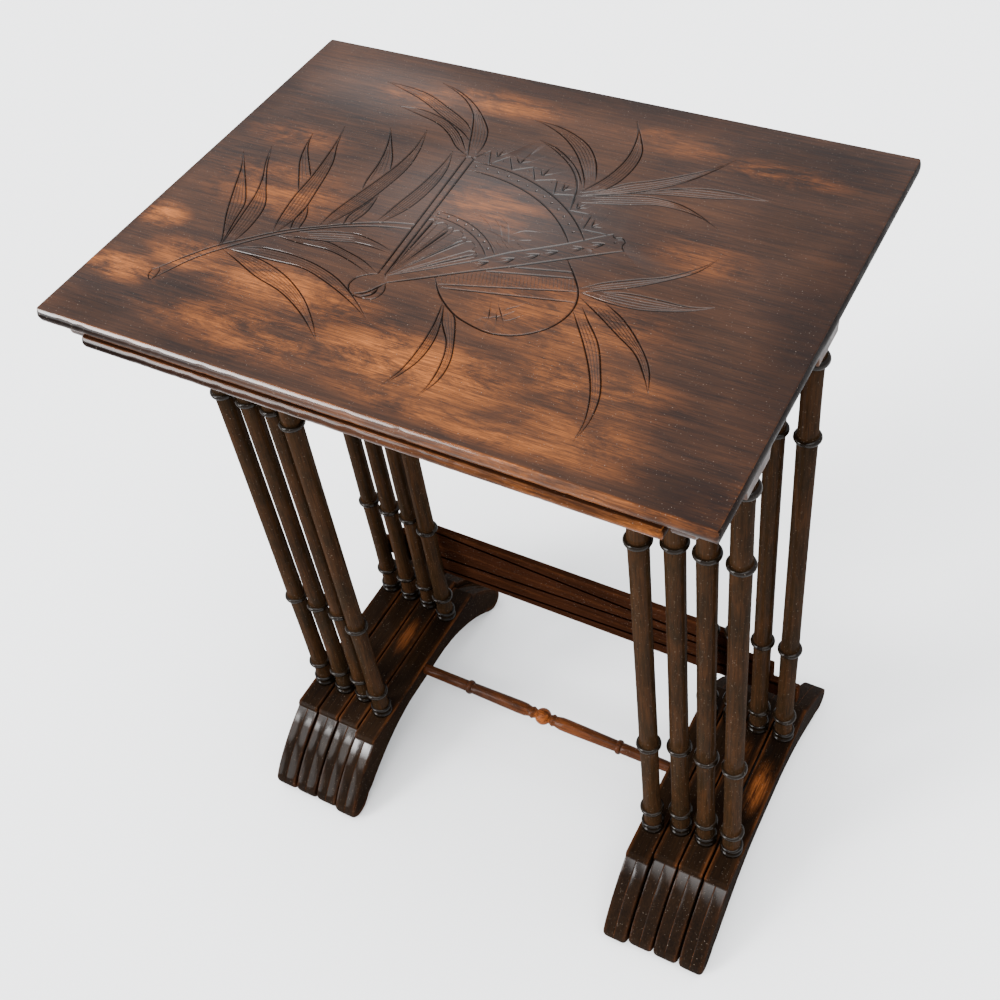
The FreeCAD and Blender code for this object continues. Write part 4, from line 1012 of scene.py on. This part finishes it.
def arc_through(start, middle, end, steps=9):
    """Points of the circular arc through three points."""
    a, b, c = (np.array(p, float) for p in (start, middle, end))
    d = 2 * (a[0] * (b[1] - c[1]) + b[0] * (c[1] - a[1]) + c[0] * (a[1] - b[1]))
    if abs(d) < 1e-6:
        return np.array([a, b, c])
    a2, b2, c2 = a @ a, b @ b, c @ c
    centre = np.array([(a2 * (b[1] - c[1]) + b2 * (c[1] - a[1]) + c2 * (a[1] - b[1])) / d,
                       (a2 * (c[0] - b[0]) + b2 * (a[0] - c[0]) + c2 * (b[0] - a[0])) / d])
    radius = np.linalg.norm(a - centre)
    first = math.atan2(*(a - centre)[::-1])
    turn_b = (math.atan2(*(b - centre)[::-1]) - first) % (2 * math.pi)
    turn_c = (math.atan2(*(c - centre)[::-1]) - first) % (2 * math.pi)
    if turn_b > turn_c:
        turn_c -= 2 * math.pi
    angles = first + np.linspace(0, turn_c, steps + 1)
    return np.stack([centre[0] + radius * np.cos(angles), centre[1] + radius * np.sin(angles)], 1)


def cut_bores(obj, places, radius, bottom, top):
    """Bores round upright holes up into a piece, from bottom to top."""
    bm = bmesh.new()
    for x, y in places:
        middle = Matrix.Translation(Vector((x, y, (bottom + top) / 2)) * MM)
        bmesh.ops.create_cone(bm, cap_ends=True, segments=24, radius1=radius * MM, radius2=radius * MM,
                              depth=(top - bottom) * MM, matrix=middle)
    tool_mesh = bpy.data.meshes.new(obj.name + "_bores")
    bm.to_mesh(tool_mesh)
    bm.free()
    tool = bpy.data.objects.new(obj.name + "_bores", tool_mesh)
    bpy.context.scene.collection.objects.link(tool)
    modifier = obj.modifiers.new("bores", "BOOLEAN")
    modifier.operation = "DIFFERENCE"
    modifier.solver = "EXACT"
    modifier.object = tool
    graph = bpy.context.evaluated_depsgraph_get()
    mesh = bpy.data.meshes.new_from_object(obj.evaluated_get(graph))
    obj.modifiers.clear()
    obj.data = mesh
    bpy.data.objects.remove(tool)


HEAD_BORE = 3.7
SCREW_SUNK = 6.0
SCREW_REACH = 14.0


def build_bearers():
    """The rails under the ends of each top, with lobes and coves, bored from below for screws."""
    for number in TABLES:
        for side in SIDES:
            node = "table%d_bearer_%s" % (number, side)
            low, high = box_mm(node)
            middle = (low.x + high.x) / 2
            half = (high.x - low.x) / 2
            outline = bearer_outline(number, side)
            mesh = slab_mesh(node + "_rail", outline, rounded_stations(half, 1.3),
                             lambda a, b, c, middle=middle: (middle + c, a, b))
            obj = new_object(node + "_rail", mesh)
            front, rear = leg_rows(number, side)
            under = RAIL_UNDER[number]
            reach = LOBE_HALF + COVE + SCREW_REACH
            rows = (front - reach, (front + rear) / 2, rear + reach)
            cut_bores(obj, [(middle, row) for row in rows], HEAD_BORE, under - 5, under + SCREW_SUNK)
            finish_piece(obj, "table_%d" % number, "bearer_wood", "bearer_wood", node)


DECK_REACH = 39.0
# A deck's end and the bead below its arris: (reach past DECK_REACH, drop below the deck).
DECK_EDGE = ((-1.0, 0), (-0.2, 0.4), (0.6, 1.4), (2.2, 3.2), (1.9, 4.4), (2.4, 5.4), (3.2, 7))
RUNNER_UNDER = 57.0
SLOPE_MID = 49.0
GROOVE_HALF = 0.75
GROOVE_DEEP = 0.25


def runner_end(leg, tip, top):
    """One end of a runner's side view: from the deck's arris round the toe and back under the arch.

    The front end runs that way; the rear end runs the other way, to close the outline.
    """
    arm = abs(tip - leg)
    sign = -1 if tip < leg else 1

    def out(distance, height):
        return (leg + sign * distance, height)

    points = [out(DECK_REACH + reach, top - drop) for reach, drop in DECK_EDGE]

    def arc(start, middle, end, steps):
        points.extend(tuple(p) for p in arc_through(out(*start), out(*middle), out(*end), steps)[1:])

    arc((DECK_REACH + 3.2, top - 7), ((DECK_REACH + 3 + arm) / 2 + 1.5, SLOPE_MID), (arm - 0.9, 18), 14)
    arc((arm - 0.9, 18), (arm - 2.8, 5), (arm - 11, 0), 9)
    points.append(out(arm - 18, 0))
    arc((arm - 18, 0), (arm - 26, 4.5), (arm - 34, 13.5), 5)
    arc((arm - 34, 13.5), (arm * 0.47, 27), (arm * 0.20, 42), 7)
    arc((arm * 0.20, 42), (-6, 51.5), (-34, RUNNER_UNDER), 6)
    return points if sign < 0 else points[::-1]


def runner_mesh(number, side):
    """A sledge runner with a crisp deck, a bead below its arris and a groove down each slope."""
    node = "table%d_runner_%s" % (number, side)
    low, high = box_mm(node)
    front, rear = leg_rows(number, side)
    middle = (low.x + high.x) / 2
    half = (high.x - low.x) / 2
    outline = np.array(runner_end(front, low.y, high.z) + runner_end(rear, high.y, high.z))
    stations = rounded_stations(half, 1.2)
    centre = [(share * GROOVE_HALF, 0, 1) for share in (-1.2, -0.5, 0, 0.5, 1.2)]
    split = len(stations) // 2
    stations = stations[:split] + centre[::-1] + stations[split:]
    slope_start = (front - DECK_REACH - 3.0, rear + DECK_REACH + 3.0)

    def past_step(point):
        """How far a point lies outside the deck's steps."""
        return max(slope_start[0] - point[0], point[0] - slope_start[1])

    def on_slope(point):
        return past_step(point) > 0 and point[1] > 5 and outer_side(point, front, rear, low.y, high.y)

    def worn_away(point, offset):
        """Depth of the slope's groove and of the rounding that wear has given slope and toe."""
        deep = 0.0
        if on_slope(point) and abs(offset) < GROOVE_HALF * 0.6:
            fade = min(1.0, past_step(point) / 5, (point[1] - 5) / 5)
            deep = GROOVE_DEEP * fade * (1.0 if abs(offset) < 0.1 else 0.45)
        if on_slope(point) or (past_step(point) > 0 and point[1] < 14):
            round_off = (0.8 + 5.2 * max(0.0, 1 - point[1] / 26)) * min(1.0, past_step(point) / 8)
            over = abs(offset) - (half - round_off)
            if over > 0:
                deep += round_off - math.sqrt(max(round_off ** 2 - over ** 2, 0.0))
        return deep

    def rubbed(point, offset):
        """Arrises are most rubbed where feet knock them: the deck's ends and the toes."""
        if abs(offset) < GROOVE_HALF * 1.3:
            return 0.8 if on_slope(point) and abs(offset) < 0.1 else 0.0
        toe = max(0.0, 1 - point[1] / 30)
        deck = 1.0 if point[1] > high.z - 4 else 0.0
        return min(1.0, 0.2 + 0.4 * toe + 0.5 * deck)

    def glossy(point, offset):
        """Shoes never reach the front slope just under its step, so its polish is whole."""
        if point[0] > front or not on_slope(point) or not GROOVE_HALF < abs(offset) < half - 0.5:
            return 0.0
        return 0.03 + (0.9 if side == "left" else 0.45) * max(0.0, 1 - past_step(point) / 15)

    return slab_mesh(node + "_sledge", outline, stations, lambda a, b, c: (middle + c, a, b),
                     worn_away, rubbed, glossy)


def outer_side(point, front, rear, low, high):
    """True on the upper slopes, false on the arch's underside."""
    leg, tip = (front, low) if point[0] < front else (rear, high)
    share = abs(point[0] - leg) / abs(tip - leg)
    return point[1] > 62 * (1 - max(0.0, share - 0.42) / 0.58) - 6


def build_runners():
    """The sledge feet."""
    for number in TABLES:
        for side in SIDES:
            node = "table%d_runner_%s" % (number, side)
            obj = new_object(node + "_sledge", runner_mesh(number, side), 28)
            finish_piece(obj, "table_%d" % number, "runner_wood", "runner_wood", node)


def build_rear_boards():
    """The plain boards behind the rear legs."""
    for number in (1, 2, 3):
        node = "table%d_rear_board" % number
        low, high = box_mm(node)
        outline = filleted([(low.x, low.z, 1.5), (high.x, low.z, 1.5), (high.x, high.z, 1.5),
                            (low.x, high.z, 1.5)], 3)
        middle = (low.y + high.y) / 2
        stations = rounded_stations((high.y - low.y) / 2, 1.0, calm=0.8)
        mesh = slab_mesh(node + "_plank", spaced(outline, 12), stations,
                         lambda a, b, c, middle=middle: (a, middle - c, b))
        obj = new_object(node + "_plank", mesh)
        finish_piece(obj, "table_%d" % number, "board_wood", "board_wood", node)


# ------------------------------------------------------------------ turned pieces
STEM = 9.2
TENON = 5.0
WAIST = 8.8
RINGS = (117.0, 239.0, 544.0)
RING_RADIUS = 12.3
RING_HALF = 2.9
DECK = 79.0
# Height above the deck over which the legs darken towards the foot.
FOOT_DARK_REACH = 28.0
TURNING_STEPS = 10
COLLAR = 633.0
COLLAR_RADIUS = 13.2


def bead(centre, radius, half, stem):
    """A turned bead: quirk, half-round swelling, quirk; (radius, height) points."""
    out = [(stem, centre - half - 1.2), (stem - 0.25, centre - half - 0.5)]
    for k in range(TURNING_STEPS + 1):
        angle = math.pi * k / TURNING_STEPS
        swell = math.sin(angle) ** 0.8
        out.append((stem - 0.15 + (radius - stem + 0.15) * swell, centre - half * math.cos(angle)))
    out += [(stem - 0.25, centre + half + 0.5), (stem, centre + half + 1.2)]
    return out


def stem_between(low, high):
    """A stretch of bamboo stem, a little slimmer midway and fuller beside its rings."""
    out = []
    for k in range(1, TURNING_STEPS):
        share = k / TURNING_STEPS
        out.append((STEM - (STEM - WAIST) * math.sin(math.pi * share) ** 0.6, low + (high - low) * share))
    return out


def leg_profile(low_z, high_z):
    """(radius, height) of a leg from its foot tenon to its upper tenon."""
    points = [(0, low_z), (TENON, low_z), (TENON, DECK + 0.02), (11.2, DECK + 0.05), (11.5, DECK + 0.5),
              (11.5, DECK + 3.2), (11.0, DECK + 4.2), (9.4, DECK + 5.6)]
    points += bead(90.0, 11.6, 2.6, STEM)
    previous = 90.0 + 2.6
    for ring in RINGS:
        points += stem_between(previous + 1.6, ring - RING_HALF - 1.7)
        points += bead(ring, RING_RADIUS, RING_HALF, STEM)
        previous = ring + RING_HALF
    points += stem_between(previous + 1.6, COLLAR - 6.4)
    points += bead(COLLAR, COLLAR_RADIUS, 4.2, STEM)
    points += [(STEM, COLLAR + 8), (9.9, COLLAR + 10), (10.1, COLLAR + 11.5), (10.1, LOBE_UNDER - 0.4),
               (9.8, LOBE_UNDER - 0.02), (TENON, LOBE_UNDER), (TENON, high_z), (0, high_z)]
    return points


def leg_paint(radius, height):
    """Wear, polish and darkening of a leg.

    Stems are rubbed a little; rings keep their gloss and dark colour; the stem darkens towards the foot.
    """
    ring = radius > STEM + 0.3
    foot = max(0.0, 1 - (height - DECK) / FOOT_DARK_REACH)
    return (0.0 if radius > STEM + 0.1 else 0.35), (0.22 if ring else 0.0), min(0.8,
                                                                                0.62 * ring + 0.75 * foot)


def build_legs():
    """Sixteen bamboo-pattern legs."""
    for number in TABLES:
        for side in SIDES:
            for end in ENDS:
                node = "table%d_leg_%s_%s" % (number, end, side)
                low, high = box_mm(node)
                x, y = (low.x + high.x) / 2, (low.y + high.y) / 2
                mesh = lathe_mesh(node + "_turning", leg_profile(low.z, high.z),
                                  lambda a, b, c, x=x, y=y: (x + a, y + b, c), 40, leg_paint)
                obj = new_object(node + "_turning", mesh, 40)
                finish_piece(obj, "table_%d" % number, "leg_wood", "leg_wood", node)


def build_stretcher():
    """The smallest table's turned stretcher with its ball."""
    node = "table4_stretcher"
    low, high = box_mm(node)
    y, z = (low.y + high.y) / 2, (low.z + high.z) / 2
    inner = box_mm("table4_runner_right")[0].x
    half = [(3.5, inner + 9.5), (3.5, inner), (5.9, inner), (6.1, inner - 6), (6.35, 104)]
    half += [(radius, along) for radius, along in reversed(bead(94, 8.2, 3.0, 6.4))]
    half += [(6.5, 84), (7.1, 55), (7.5, 30), (7.3, 22), (6.2, 17.5), (5.9, 15.2)]
    ball = [(math.sqrt(max(0.0, 9.55 ** 2 - s * s)), s) for s in (8.2, 7.2, 5.8, 4.0, 2.0, 0.0)]
    half += [(6.9, 13.4), (6.9, 12.2), (6.0, 10.8)] + ball
    profile = [(0, inner + 9.5)] + half
    profile += [(radius, -along) for radius, along in reversed(half[:-1])] + [(0, -inner - 9.5)]

    def rubbed(radius, along_axis):
        ball_share = 1.0 if abs(along_axis) < 9 else 0.0
        return max(ball_share, 0.12 + 0.3 * max(0.0, 1 - abs(along_axis) / 90)), 0.0, 0.0

    mesh = lathe_mesh(node + "_turning", profile, lambda a, b, c: (c, y + a, z + b), 36, rubbed)
    obj = new_object(node + "_turning", mesh, 40)
    finish_piece(obj, "table_4", "stretcher_wood", "stretcher_wood", node)


# ------------------------------------------------------------------ screws
def screw_mesh(name, places, length, head_radius, shank_radius):
    """Countersunk slotted screws driven forwards (-y); each place is its head's middle."""
    bm = bmesh.new()
    profile = [(0, 0.35), (1.6, 0.33), (head_radius - 0.5, 0.2), (head_radius, 0.0), (head_radius, -0.3),
               (shank_radius, -2.2), (shank_radius, -length * 0.5)]
    turn = length * 0.5
    while turn < length - 1.5:
        profile += [(shank_radius * 0.78, -turn - 0.2), (shank_radius * 1.0, -turn - 0.6)]
        turn += 0.9
    profile += [(0.2, -length)]
    segments = 24
    for x, y, z in places:
        rows = []
        for radius, depth in profile:
            row = []
            for k in range(segments):
                angle = 2 * math.pi * k / segments
                across = radius * math.cos(angle)
                sunk = 0.75 if abs(across) < 0.5 and depth > -0.1 else 0.0
                point = Vector((x + across, y + depth - sunk, z + radius * math.sin(angle))) * MM
                row.append(bm.verts.new(point))
            rows.append(row)
        for a, b in zip(rows, rows[1:]):
            for k in range(segments):
                j = (k + 1) % segments
                bm.faces.new((a[k], a[j], b[j], b[k]))
        bm.faces.new(rows[-1][::-1])
    bmesh.ops.remove_doubles(bm, verts=bm.verts, dist=1e-7)
    bmesh.ops.recalc_face_normals(bm, faces=bm.faces)
    mesh = bpy.data.meshes.new(name)
    bm.to_mesh(mesh)
    bm.free()
    return mesh


def build_screws():
    """Board screws get slotted heads; the top screws, deep in their bores, stay as they are."""
    for number in (1, 2, 3):
        node = "table%d_board_screws" % number
        low, high = box_mm(node)
        z = (low.z + high.z) / 2
        reach = 3.6
        places = [(x, high.y, z) for x in (low.x + reach, high.x - reach)]
        mesh = screw_mesh(node + "_slotted", places, 14.0, reach, 1.9)
        obj = new_object(node + "_slotted", mesh)
        finish_piece(obj, "table_%d" % number, "screw_steel", "screw_steel", node)
    for number in TABLES:
        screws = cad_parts["table%d_top_screws" % number]
        for index in range(len(screws.material_slots)):
            screws.material_slots[index].material = MATERIALS["screw_steel"]


# ------------------------------------------------------------------ stage, lights and camera
FLOOR_SIZE = 9
# Suns: name, the way towards it, strength, width in degrees.
SUNS = (("daylight", (0.10, -0.30, 1.2), 4.7, 60), ("window", (-0.48, -0.65, 0.62), 2.4, 16),
        ("low window", (-0.61, -0.755, 0.22), 4.0, 26))


def build_stage():
    """A plain pale floor."""
    bpy.ops.mesh.primitive_plane_add(size=FLOOR_SIZE, location=(0, 0, 0))
    floor = bpy.context.object
    floor.name = "floor"
    n = Nodes("floor_paint")
    n.shader.inputs["Base Color"].default_value = (0.90, 0.90, 0.90, 1)
    n.shader.inputs["Roughness"].default_value = 0.9
    n.shader.inputs["Specular IOR Level"].default_value = 0.1
    floor.data.materials.append(n.material)


def sun_light(name, towards, strength, spread):
    """Even light from one side of the sky."""
    data = bpy.data.lights.new(name, "SUN")
    data.energy = strength
    data.angle = math.radians(spread)
    lamp = bpy.data.objects.new(name, data)
    bpy.context.scene.collection.objects.link(lamp)
    lamp.rotation_euler = Vector(towards).to_track_quat("Z", "Y").to_euler()


def build_lights():
    """A pale sky, soft daylight from above, and two windows at the front left, one of them low."""
    world = bpy.data.worlds.new("studio")
    bpy.context.scene.world = world
    world.use_nodes = True
    world.node_tree.nodes["Background"].inputs["Color"].default_value = (0.93, 0.96, 1.0, 1)
    world.node_tree.nodes["Background"].inputs["Strength"].default_value = 1.9
    for sun in SUNS:
        sun_light(*sun)


SENSOR = 36
CAMERA_PLACE = (0.4742, -0.6955, 1.3658)
CAMERA_HEADING = 33.5
CAMERA_DIP = 46.7
CAMERA_ROLL = -7.76
FOCAL_SHARE = 1.3472
CENTRE_SHIFT = (-0.0291, -0.0423)


def build_camera():
    """The camera: heading is left of +y, dip is below level, roll turns it clockwise."""
    data = bpy.data.cameras.new("camera")
    data.sensor_width = SENSOR
    data.lens = SENSOR * FOCAL_SHARE
    data.shift_x, data.shift_y = CENTRE_SHIFT
    data.clip_start = 0.05
    camera = bpy.data.objects.new("camera", data)
    bpy.context.scene.collection.objects.link(camera)
    heading, dip = math.radians(CAMERA_HEADING), math.radians(CAMERA_DIP)
    forward = Vector((-math.sin(heading) * math.cos(dip), math.cos(heading) * math.cos(dip), -math.sin(dip)))
    turn = forward.to_track_quat("-Z", "Y").to_matrix() @ Matrix.Rotation(math.radians(CAMERA_ROLL), 3, "Z")
    camera.matrix_world = Matrix.Translation(CAMERA_PLACE) @ turn.to_4x4()
    bpy.context.scene.camera = camera


build_camera()
build_tops()
build_bearers()
build_legs()
build_runners()
build_rear_boards()
build_stretcher()
build_screws()
build_stage()
build_lights()

bpy.context.view_layer.update()
